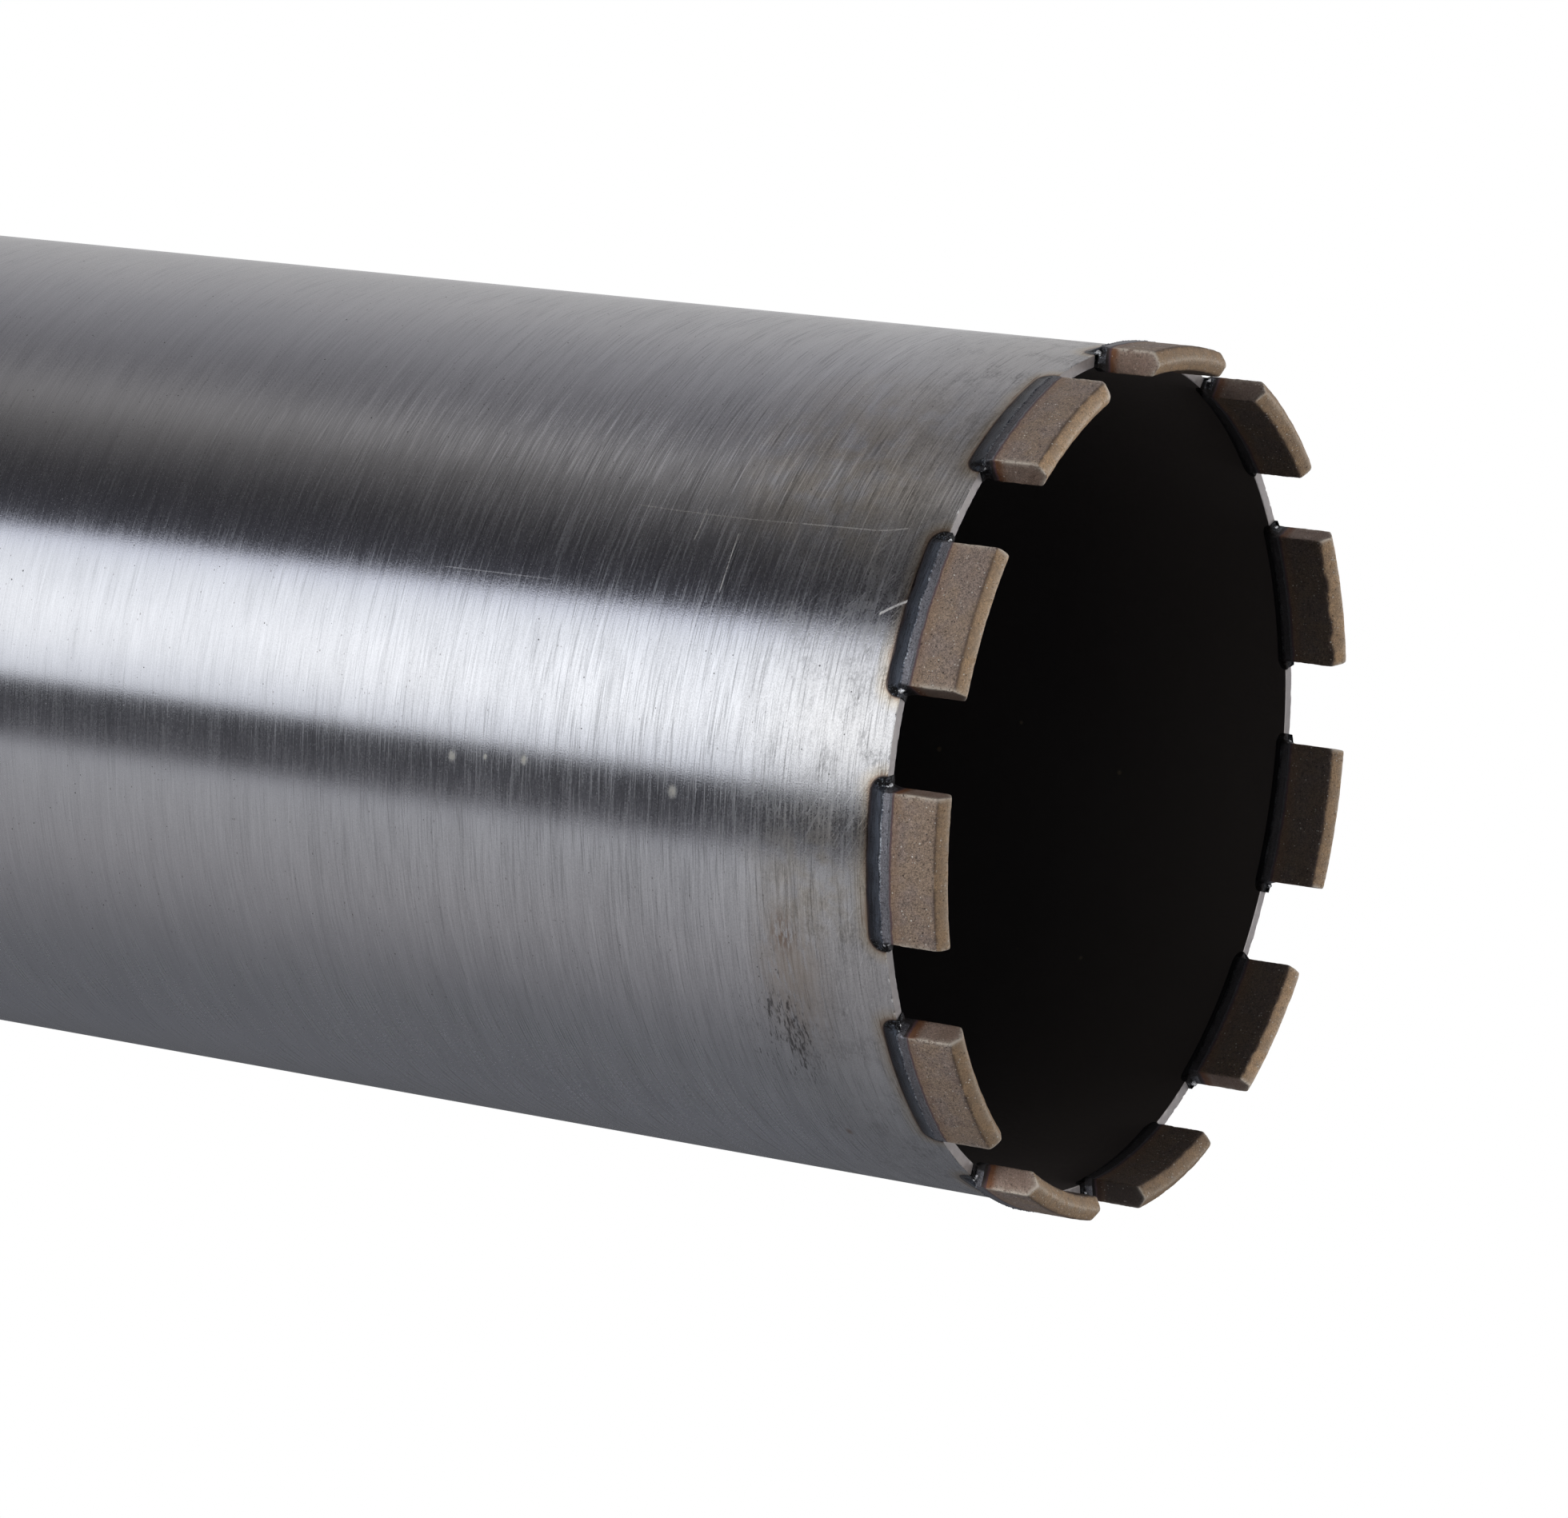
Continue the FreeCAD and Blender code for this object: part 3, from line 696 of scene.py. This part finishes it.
def finished(piece, slot, *nodes):
    """The piece, riding on the one body, with what it replaces hidden. The slot is not used."""
    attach(piece, "root")
    if nodes:
        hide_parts(*nodes)
    return piece


# The tube's materials, in the order in which make_tube gets them.
GROUND, CUT, BLACK = range(3)
# How many points go round the tube and a bead, round a turn of the thread, along its
# run-out at both ends, and along a segment's weld.
TUBE_TURN_POINTS = 1440
BEAD_TURN_POINTS = 720
THREAD_TURN_POINTS = 72
THREAD_FADE_POINTS = 40
WELD_POINTS = 170


def make_tube(materials):
    """The tube's wall as a ring of revolution, with small burrs round the rim."""
    bevel, top_bevel = 0.12, 0.6
    climbs = [RIM + d for d in (0.12, 0.5, 1.2, 3, 6, 12, 30)]
    climbs += list(np.linspace(RIM + 60, TUBE_TOP - 6, 10)) + [TUBE_TOP - top_bevel - 0.3]
    outside = [(TUBE_OUT, h) for h in climbs] + [(TUBE_OUT, TUBE_TOP - top_bevel)]
    top = [(TUBE_OUT - top_bevel, TUBE_TOP), (TUBE_IN + bevel, TUBE_TOP)]
    inside = [(TUBE_IN, TUBE_TOP - bevel)] + [(TUBE_IN, h) for h in reversed(climbs)]
    across = np.linspace(TUBE_IN + bevel, TUBE_OUT - bevel, 5)
    rim = [(r, RIM) for r in across]
    profile = np.array(outside + top + inside + rim)
    turns = full_turn(TUBE_TURN_POINTS)
    radius = np.repeat(profile[:, :1], len(turns), axis=1)
    height = np.repeat(profile[:, 1:], len(turns), axis=1)

    # The rim's edges are ragged by a few hundredths of a millimetre.
    edge = circle(turns, TUBE_OUT)
    outer, inner = len(profile) - 1, len(outside) + len(top) + len(inside)
    burr = np.clip(field(edge, 3, 11), -1.5, 1.5) * 0.03
    nick = np.clip(field(edge, 1.4, 12) - 1, 0, 1) * 0.08
    height[outer] += nick + burr
    height[0] += nick * 1.4 + np.abs(burr)
    radius[outer] -= nick
    height[inner] += np.clip(field(edge, 2, 13), 0, 1.5) * 0.06
    points = around(radius, turns[None, :], height)
    faces = grid_faces(len(profile), len(turns), True, True)
    tube = new_piece("tube", points, faces, materials, sharp=25)
    last_out, last_top = len(outside) - 1, len(outside) + len(top) - 1
    for polygon in tube.data.polygons:
        row = polygon.index // len(turns)
        if row < last_out or row == len(profile) - 1:
            polygon.material_index = GROUND
        elif row <= last_top or row >= inner - 1:
            polygon.material_index = CUT
        else:
            polygon.material_index = BLACK
    return finished(tube, "tube_steel", "barrel_tube")


# How far each segment's ridge is worn round at its two ends, in millimetres, by
# number: first the end that lies on in the way the numbers run, then the other one.
RIDGE_WEAR = {
    1: (1.4, 0.8), 7: (1.6, 1), 8: (0.8, 1.5), 9: (0.6, 1.3), 10: (1.5, 0.7), 11: (3, 0.5)
}
USUAL_WEAR = (1, 0.8)
# How ragged the inner edge of the roof is, where it isn't as the others, in millimetres.
RAGGED = {2: 0.1, 3: 0.36, 4: 0.12, 5: 0.12, 6: 0.12}
USUAL_RAGGED = 0.03
# How pale the ground roof of a segment is, where it isn't as the others.
ROOF_TONE = {3: 1.25, 5: 1.3, 6: 0.83, 8: 0.95, 10: 1.38, 11: 1.5}
USUAL_ROOF_TONE = 1.05
# Painted light and shade on a segment's ends (as in RIDGE_WEAR), paler above 1 and darker below
# it, and painted shade on all of the inner faces.
END_PAINTED_LIGHT_AND_SHADE = {2: (1, 0.55), 6: (0.2, 1), 7: (1.4, 1), 8: (0.85, 1), 10: (1, 0.48), 11: (1, 0.7)}
INNER_PAINTED_SHADE = 0.55
# How pale a weld is, where it isn't as the others.
WELD_TONE = {11: 0.66}
# How widely a segment's faces blend into each other, and how far apart two places lie
# whose distances give the slope between them, in millimetres.
EDGE_SOFTNESS = 0.13
NUDGE = 0.01
SEGMENT_LATTICE = (110, 22, 50)
DRAWING_STEPS = 6
SEEDS_PER_SEGMENT = 100


def segment_planes(places, wear, seed):
    """Signed distances of places (along, out, up) from the faces of one segment."""
    along, out, up = places.T
    slope = math.atan2(ROOF, HALF_THICK)
    side = places[:, [0, 2]]
    # Each roof plane is worn more towards its outer edge than at the ridge.
    away = np.abs(out) / HALF_THICK
    lean = np.random.default_rng(seed + 4).uniform(0, 0.1, 2)
    wavy = np.clip(field(places[:, [0]], 6, seed + 1) * 0.5 + 0.5, 0, 1.5) * away
    chipped = np.clip(field(side, 1.1, seed) - 1.1, 0, 1.5) * away
    rough = field(places, 0.7, seed + 2) * 0.008 + field(places, 2.6, seed + 3) * 0.012
    outer_roof = out * math.sin(slope) - up * math.cos(slope)
    outer_roof += (wavy * 0.04 + chipped * 0.05 + lean[0]) * away
    inner_roof = -out * math.sin(slope) - up * math.cos(slope)
    ragged = RAGGED.get(seed // SEEDS_PER_SEGMENT, USUAL_RAGGED)
    inner_roof += (wavy + chipped * 1.3) * ragged + lean[1] * away
    planes = [out - HALF_THICK, -out - HALF_THICK, up - FOOT, outer_roof, inner_roof]
    for way, radius in zip((1, -1), wear):
        a = way * along - (SEGMENT_HALF - radius)
        b = radius - 0.35 - up
        corner = np.minimum(np.maximum(a, b), 0) + np.hypot(np.maximum(a, 0), np.maximum(b, 0))
        planes.append(corner - radius)
    return np.stack(planes) + rough


def segment_surface(places, wear, seed):
    """One distance from the segment's rounded surface, and each face's share in it."""
    planes = segment_planes(places, wear, seed) / EDGE_SOFTNESS
    top = planes.max(axis=0)
    weights = np.exp(planes - top)
    total = weights.sum(axis=0)
    return (top + np.log(total)) * EDGE_SOFTNESS, weights / total


def make_segment(number, material):
    """A segment as a lattice box that is drawn in to the worn, rounded shape."""
    lattice, faces = box_lattice(SEGMENT_LATTICE)
    share = crowded(lattice / np.array(SEGMENT_LATTICE) * 2 - 1, 1.25)
    size = np.array([SEGMENT_HALF, HALF_THICK, FOOT / 2])
    places = share * size + np.array([0, 0, FOOT / 2])
    roof = 1 - np.abs(places[:, 1]) / size[1]
    low = smoothstep(FOOT / 2, 0, places[:, 2])
    places[:, 2] += (1 - roof) * ROOF * low
    wear = RIDGE_WEAR.get(number, USUAL_WEAR)
    seed = SEEDS_PER_SEGMENT * number
    # Each step moves the points most of the way to the surface, along the slope there.
    for _ in range(DRAWING_STEPS):
        here, _ = segment_surface(places, wear, seed)
        gradient = np.empty_like(places)
        for axis in range(3):
            nudge = np.zeros(3)
            nudge[axis] = NUDGE
            gradient[:, axis] = (segment_surface(places + nudge, wear, seed)[0] - here) / NUDGE
        size_squared = np.maximum((gradient**2).sum(axis=1, keepdims=True), 0.2)
        places = places - gradient * here[:, None] / size_squared * 0.9
    _, weights = segment_surface(places, wear, seed)
    outer, inner, _, outer_roof, inner_roof, end_on, end_back = weights
    roofs, ends = outer_roof + inner_roof, end_on + end_back
    # The tone carries painted light and shade on the ends, and painted shade on the inner faces.
    end_shading_on, end_shading_back = END_PAINTED_LIGHT_AND_SHADE.get(number, (1, 1))
    roof_tone = ROOF_TONE.get(number, USUAL_ROOF_TONE)
    tone = 1 + roofs * (roof_tone - 1) + inner * (INNER_PAINTED_SHADE - 1)
    tone += end_on * (end_shading_on - 1) + end_back * (end_shading_back - 1)
    reach = MIDDLE + places[:, 1]
    # The ends are parallel, so the way along is straight and not round the axis.
    angle = (number - 1) * STEP + np.arcsin(places[:, 0] / reach)
    points = around(reach, angle, places[:, 2])
    attributes = {
        "roof": roofs,
        "end": ends,
        "end_line": np.sqrt(np.clip(4 * ends * (outer + roofs), 0, 1)),
        "roof_line": np.clip(4 * (outer_roof * outer + inner_roof * inner), 0, 1),
        "tone": tone,
        "turn": np.full(len(places), number, float),
    }
    label = f"{number:02d}"
    piece = new_piece(f"sintered_segment_{label}", points, faces, [material], 50, attributes)
    return finished(piece, "segment_matrix", f"segment_{label}")


def weld_outline(along, number):
    """Radius, height and share across of the weld's rows at places along it, in mm."""
    inward = SEGMENT_HALF + WELD_OVERRUN - np.abs(along)
    into_corner = np.clip(1 - inward / WELD_CORNER, 0, 1)
    drop = WELD_CORNER * (1 - np.sqrt(1 - into_corner**2))
    past = smoothstep(-0.3, 0.6, np.abs(along + WELD_SHIFT) - SEGMENT_HALF)
    lift = smoothstep(0, 0.9, inward)
    ripple = field(along[:, None], 0.9, 700 + number) * 0.06
    wander = field(along[:, None], 6, 720 + number) * 0.1
    toe = WELD_TOE - drop + wander * 0.6
    bead = BEAD_LINE + wander * 0.5 - past * 0.1
    foot = FOOT + past * (RIM - FOOT - 0.12)
    proud_out = (SEGMENT_OUT - TUBE_OUT) * (1 - past * 0.8) * lift
    proud_in = (TUBE_IN - SEGMENT_IN) * (1 - past * 0.8) * lift
    bead_height = (0.08 + ripple) * lift
    inner_toe = INNER_TOE - drop * 0.5
    outer = TUBE_OUT + proud_out
    # Over the segment, a thin skin of the weld laps its rounded edge.
    lap = (1 - past) * 0.45
    rows = [
        (outer - 0.2, foot - lap - 0.02, 0),
        (outer + 0.015, foot - lap + 0.04, 0.02),
        (outer + 0.02, foot + 0.3, 0.06),
        (outer, bead - 0.25, 0.12),
        (outer + bead_height * 0.8, bead - 0.1, 0.16),
        (outer + bead_height, bead + 0.05, 0.2),
        (outer + bead_height * 0.5, bead + 0.2, 0.24),
        (outer - 0.06 * lift, bead + 0.34, 0.28),
    ]
    ramp_start = bead + 0.34
    for share in np.linspace(0.1, 1, 14):
        # The ramp is a shallow hollow from the bead down to the tube.
        fall = (1 - share) ** 1.35
        height = ramp_start + (toe - ramp_start) * share
        rows.append((TUBE_OUT + 0.015 + proud_out * 0.9 * fall, height, 0.28 + 0.72 * share))
    rows += [
        (TUBE_OUT - 0.15, toe + 0.04, 1),
        (TUBE_OUT - 0.6, toe - 0.3, 1),
        (TUBE_IN + 0.6, inner_toe - 0.2, 0),
        (TUBE_IN + 0.15, inner_toe + 0.04, 0.6),
    ]
    for share in np.linspace(1, 0.1, 5):
        fall = (1 - share) ** 1.3
        height = RIM + 0.3 + (inner_toe - RIM - 0.3) * share
        rows.append((TUBE_IN - 0.015 - proud_in * 0.93 * fall, height, 0.4))
    inner = TUBE_IN - proud_in
    rows += [
        (inner, RIM + 0.1, 0.2),
        (inner - 0.01, foot + 0.35, 0.1),
        (inner - 0.01, foot - lap + 0.04, 0.05),
        (inner + 0.2, foot - lap - 0.02, 0),
    ]
    spread = [[np.broadcast_to(part, along.shape) for part in row] for row in rows]
    return np.stack(spread, axis=1)


def blob_points(centre, size, seed):
    """A small lumpy drop of weld metal: places (radius, along, height) and its quads."""
    rows, columns = 9, 14
    tilt = np.linspace(0, math.pi, rows)[:, None]
    turn = full_turn(columns)[None, :]
    wide, high = np.sin(tilt), np.cos(tilt)
    unit = [wide * np.cos(turn), wide * np.sin(turn), high * np.ones_like(turn)]
    unit = np.stack(unit, axis=-1).reshape(-1, 3)
    lump = 1 + 0.16 * field(unit, 1.6, seed)
    return unit * lump[:, None] * size + centre, grid_faces(rows, columns, False, True)


def make_weld(number, material):
    """The weld of one segment: a saddle over the rim, with drops of metal at its ends."""
    half = SEGMENT_HALF + WELD_OVERRUN
    along = crowded(np.linspace(-1, 1, WELD_POINTS), 1.4) * half
    radius, height, across = weld_outline(along, number)
    rows, columns = radius.shape
    middle = (number - 1) * STEP
    angle = middle + np.arcsin((along + WELD_SHIFT)[None, :] / radius)
    points = [around(radius, angle, height).reshape(-1, 3)]
    faces = rod_faces(rows, columns)
    inset = np.repeat((half - np.abs(along))[None, :], rows, axis=0).ravel()
    blob = [np.zeros(rows * columns)]
    random = np.random.default_rng(40 + number)
    count = rows * columns
    for way in (-1, 1):
        for size in (0.5, 0.32):
            at = way * (SEGMENT_HALF + random.uniform(0.35, 0.8)) + WELD_SHIFT
            reach = TUBE_OUT + random.uniform(-0.5, 0.25)
            centre = np.array([reach, at, RIM - random.uniform(0, 0.35)])
            stretch = np.array([0.8, 1, 0.9]) * size * random.uniform(0.8, 1.15)
            places, quads = blob_points(centre, stretch, 60 + number * 5 + way)
            points.append(around(places[:, 0], middle + places[:, 1] / TUBE_OUT, places[:, 2]))
            faces += [tuple(v + count for v in quad) for quad in quads]
            count += len(places)
            blob.append(np.ones(len(places)))
    # The drops count as the middle of the band, far from the weld's ends.
    extra = count - rows * columns
    attributes = {
        "across": np.concatenate([across.ravel(), np.full(extra, 0.5)]),
        "inset": np.concatenate([inset, np.full(extra, 9)]),
        "blob": np.concatenate(blob),
        "tone": np.full(count, WELD_TONE.get(number, 1)),
    }
    label = f"{number:02d}"
    points = np.concatenate(points)
    piece = new_piece(f"laser_weld_{label}", points, faces, [material], 60, attributes)
    return finished(piece, "laser_weld", f"segment_weld_{label}")


def make_bead(name, node, corner_radius, way, leg, material):
    """A rippled arc weld round a corner on the plate, outward or inward as the way says."""
    steps = BEAD_TURN_POINTS
    turns = full_turn(steps)
    pitch = BEAD_PITCH / corner_radius
    rows = []
    for share in np.linspace(0, 1, 9):
        tilt = share * math.pi / 2
        # The ripples lag in the middle of the bead's face.
        late = math.sin(share * math.pi) * 0.72 / corner_radius
        phase = (turns - late) / pitch
        ripple = np.abs(np.sin(phase * math.pi)) ** 0.6 * 0.22 * math.sin(share * math.pi)
        wander = field(circle(turns, corner_radius), 9, 5) * 0.1
        full = leg * (0.74 + 0.2 * abs(math.cos(2 * tilt))) + ripple + wander - 0.25
        radius = corner_radius + way * full * math.cos(tilt)
        rows.append(np.stack([radius, PLATE_TOP + full * math.sin(tilt)]))
    # The bead's back lies a little inside the metal that it joins.
    back = ((-0.3, leg * 0.5), (-0.3, -0.3), (leg * 0.5, -0.3))
    for out, up in back:
        flat = np.full(steps, corner_radius + way * out)
        rows.append(np.stack([flat, np.full(steps, PLATE_TOP + up)]))
    grid = np.stack(rows)
    points = around(grid[:, 0], turns[None, :], grid[:, 1])
    faces = grid_faces(len(rows), steps, True, True)
    piece = new_piece(name, points, faces, [material], 60)
    return finished(piece, "bead_weld", node)


def make_thread(material):
    """The ridge of the hub's right-handed thread, as one helix in the bore."""
    bottom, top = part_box("threaded_hub")
    bore = node_radii("threaded_hub")[0] / MM
    low, high = bottom.z / MM + THREAD_INSET, top.z / MM - THREAD_INSET
    steps = int((high - low) / THREAD_PITCH * THREAD_TURN_POINTS)
    count = np.arange(steps + 1)
    turn = count * 2 * math.pi / THREAD_TURN_POINTS
    middle = low + turn / (2 * math.pi) * THREAD_PITCH
    fade = smoothstep(0, THREAD_FADE_POINTS, count)
    fade *= smoothstep(steps, steps - THREAD_FADE_POINTS, count)
    depth = THREAD_DEPTH * fade
    flank = THREAD_PITCH * 0.44
    crest = THREAD_PITCH * 0.07
    rows = [
        (np.full_like(turn, bore + 0.1), middle - flank),
        (bore - depth, middle - crest),
        (bore - depth, middle + crest),
        (np.full_like(turn, bore + 0.1), middle + flank),
    ]
    radius, height = np.stack(rows, axis=1)
    points = around(radius, turn[None, :], height)
    faces = rod_faces(len(rows), len(turn))
    piece = new_piece("hub_thread", points, faces, [material], 30)
    return finished(piece, "machined_steel")


# Stage, lights and camera


def ray_kinds(shader):
    """Light Path's outputs for camera, glossy and transmission rays, as one field."""
    path = shader.node("ShaderNodeLightPath")
    names = ("Is Camera Ray", "Is Glossy Ray", "Is Transmission Ray")
    camera, glossy, through = (Field(shader, path.outputs[name]) for name in names)
    return shader.greatest(camera, glossy, through)


def make_world():
    """White to look at, also in reflections, and a soft light from above on the object."""
    s = Shader("studio", "worlds")
    toward_x, _, upward = s.coordinates("Generated")
    level = 0.05 + s.step(upward, -0.16, 0.38) * (0.45 + toward_x * 0.12)
    light = s.node("ShaderNodeBackground", (1, 1, 1, 1), level)
    white = s.node("ShaderNodeBackground", (1, 1, 1, 1))
    mixed = s.node("ShaderNodeMixShader", ray_kinds(s), light, white)
    bpy.context.scene.world = s.finish(mixed, "World")


# What the polished tube reflects round the studio: degrees round the axis, how bright
# the reflector is there, and how red and blue. A bright panel stands between black cards.
REFLECTORS = (
    (-180, 0.23, 0.98, 1.06),
    (-163, 0.3, 1.01, 1.04),
    (-143, 0.44, 1.02, 1.02),
    (-122, 0.54, 1, 1.02),
    (-115.5, 0.58, 0.99, 1.04),
    (-112, 0.1, 1, 1.12),
    (-97.5, 0.08, 0.98, 1.1),
    (-95.5, 1.24, 0.97, 1.05),
    (-84, 1.68, 0.98, 1.01),
    (-75, 1.78, 0.98, 1.01),
    (-62, 1.57, 0.97, 1.03),
    (-56, 1.48, 0.96, 1.11),
    (-54, 0.065, 0.98, 1.24),
    (-36, 0.05, 1.03, 1.08),
    (-24, 0.15, 1.04, 0.98),
    (-12, 0.38, 1.03, 0.98),
    (0, 0.225, 1.02, 1.05),
    (20, 0.375, 1.01, 1.04),
    (45, 0.58, 1.01, 1),
    (78, 0.63, 1, 0.98),
    (88, 0.94, 1, 1.03),
    (95, 0.92, 1, 1.03),
    (99, 0.1, 0.97, 1.06),
    (121, 0.14, 0.97, 1.06),
    (140, 0.19, 0.97, 1.09),
    (180, 0.23, 0.98, 1.06),
)
REFLECTOR_GREEN = 0.985
# The dome that they stand on, in metres and degrees, how bright its ceiling is, and
# between which rises the reflectors give way to that.
DOME_RADIUS = 3
DOME_REACH = (-58, 89.5)
CEILING_LEVEL = 0.27
CEILING_FADE = (70, 88)


def hide_from(piece, *rays):
    for ray in rays:
        setattr(piece, f"visible_{ray}", False)


def make_reflectors():
    """A dome that only reflections see, as bright as the reflectors that it stands for."""
    turns = np.radians(np.arange(-180, 180, 0.5))
    rises = np.linspace(*np.radians(DOME_REACH), 60)
    angles, *parts = (np.array(part, float) for part in zip(*REFLECTORS))
    ring, red, blue = (np.interp(np.degrees(turns), angles, part) for part in parts)
    red, blue = (np.repeat(part[None, :], len(rises), axis=0) for part in (red, blue))
    high = smoothstep(*np.radians(CEILING_FADE), rises)[:, None]
    level = ring[None, :] * (1 - high) + CEILING_LEVEL * high
    flat = np.cos(rises)[:, None] * DOME_RADIUS / MM
    up = np.sin(rises)[:, None] * DOME_RADIUS / MM
    points = around(flat, turns[None, :], up)
    s = Shader("reflector")
    colour = (s.attribute("red"), REFLECTOR_GREEN, s.attribute("blue"))
    material = s.finish(s.node("ShaderNodeEmission", colour, s.attribute("level")))
    material.cycles.emission_sampling = "NONE"
    faces = grid_faces(len(rises), len(turns), False, True)
    attributes = {"level": level, "red": red, "blue": blue}
    dome = new_piece("reflector_dome", points, faces, [material], 180, attributes)
    hide_from(dome, "camera", "diffuse", "transmission", "volume_scatter", "shadow")


# How far the floor reaches, and between which distances it turns white, in metres.
FLOOR_REACH = 12
FLOOR_FADE = (0.5, 2.2)


def make_floor():
    """A pale floor that fades to white far out, and that is clear from below."""
    s = Shader("floor")
    x, y, _ = s.place()
    reach = s.length(x, y) * MM
    floor = s.node("ShaderNodeBsdfDiffuse", (0.86, 0.86, 0.86, 1))
    far_out = s.step(reach, *FLOOR_FADE) * ray_kinds(s)
    fade = s.node("ShaderNodeMixShader", far_out, floor, s.node("ShaderNodeEmission"))
    below = s.node("ShaderNodeNewGeometry").outputs["Backfacing"]
    clear = s.node("ShaderNodeBsdfTransparent")
    material = s.finish(s.node("ShaderNodeMixShader", below, fade, clear))
    material.cycles.emission_sampling = "NONE"
    corners = np.array([(-1, -1, 0), (1, -1, 0), (1, 1, 0), (-1, 1, 0)], float) * FLOOR_REACH
    floor_plane = new_piece("floor", corners, [(0, 1, 2, 3)], [material])
    hide_from(floor_plane, "diffuse", "glossy", "transmission", "shadow")


# Where the lamps point, on the axis near the cutting ring, in metres.
LAMP_TARGET = Vector((0, 0, 0.1))


def add_lamp(name, azimuth, rise, distance, size, power):
    """A square soft lamp that faces the cutting ring, in degrees, metres and watts."""
    data = bpy.data.lights.new(name, "AREA")
    data.shape = "SQUARE"
    data.size = size
    data.energy = power
    lamp = new_object(name, data)
    a, e = math.radians(azimuth), math.radians(rise)
    away = Vector((math.cos(a) * math.cos(e), math.sin(a) * math.cos(e), math.sin(e)))
    lamp.location = away * distance + LAMP_TARGET
    lamp.rotation_euler = away.to_track_quat("Z", "Y").to_euler()
    hide_from(lamp, "camera", "glossy")


def make_camera():
    """The photograph's camera: below the cutting ring, turned so that +X is up."""
    place = Vector((0.10407, -0.86773, -0.43623))
    forward = Vector((-0.10708, 0.8587, 0.50117)).normalized()
    up = Vector((0.99124, 0.05304, 0.12092))
    right = forward.cross(up).normalized()
    up = right.cross(forward)
    data = bpy.data.cameras.new("camera")
    data.sensor_width = 36
    data.lens = 138.82
    data.clip_start = 0.01
    data.clip_end = 50
    camera = new_object("camera", data)
    turn = Matrix((right, up, -forward)).transposed().to_4x4()
    camera.matrix_world = Matrix.Translation(place) @ turn
    bpy.context.scene.camera = camera


def build():
    matrix, oxide = sintered_matrix(), weld_oxide()
    make_tube((ground_steel(), cut_steel(), inside_black()))
    for number in range(1, len(SEGMENTS) + 1):
        make_segment(number, matrix)
        make_weld(number, oxide)
    turned, bead = turned_steel(), bead_steel()
    for node in ("end_plate", "threaded_hub"):
        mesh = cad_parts[node].data
        mesh.materials.clear()
        mesh.materials.append(turned)
    make_thread(turned)
    plate_leg = TUBE_IN - node_radii("plate_weld")[0] / MM
    make_bead("plate_bead", "plate_weld", TUBE_IN, -1, plate_leg, bead)
    collar, outer = (r / MM for r in node_radii("hub_weld"))
    make_bead("hub_bead", "hub_weld", collar, 1, outer - collar, bead)


build()
make_world()
make_reflectors()
make_floor()
add_lamp("key", azimuth=-75, rise=38, distance=1.6, size=1.1, power=19)
add_lamp("under", azimuth=95, rise=-72, distance=1.3, size=0.7, power=11)
make_camera()
bpy.context.scene.view_settings.view_transform = "Standard"
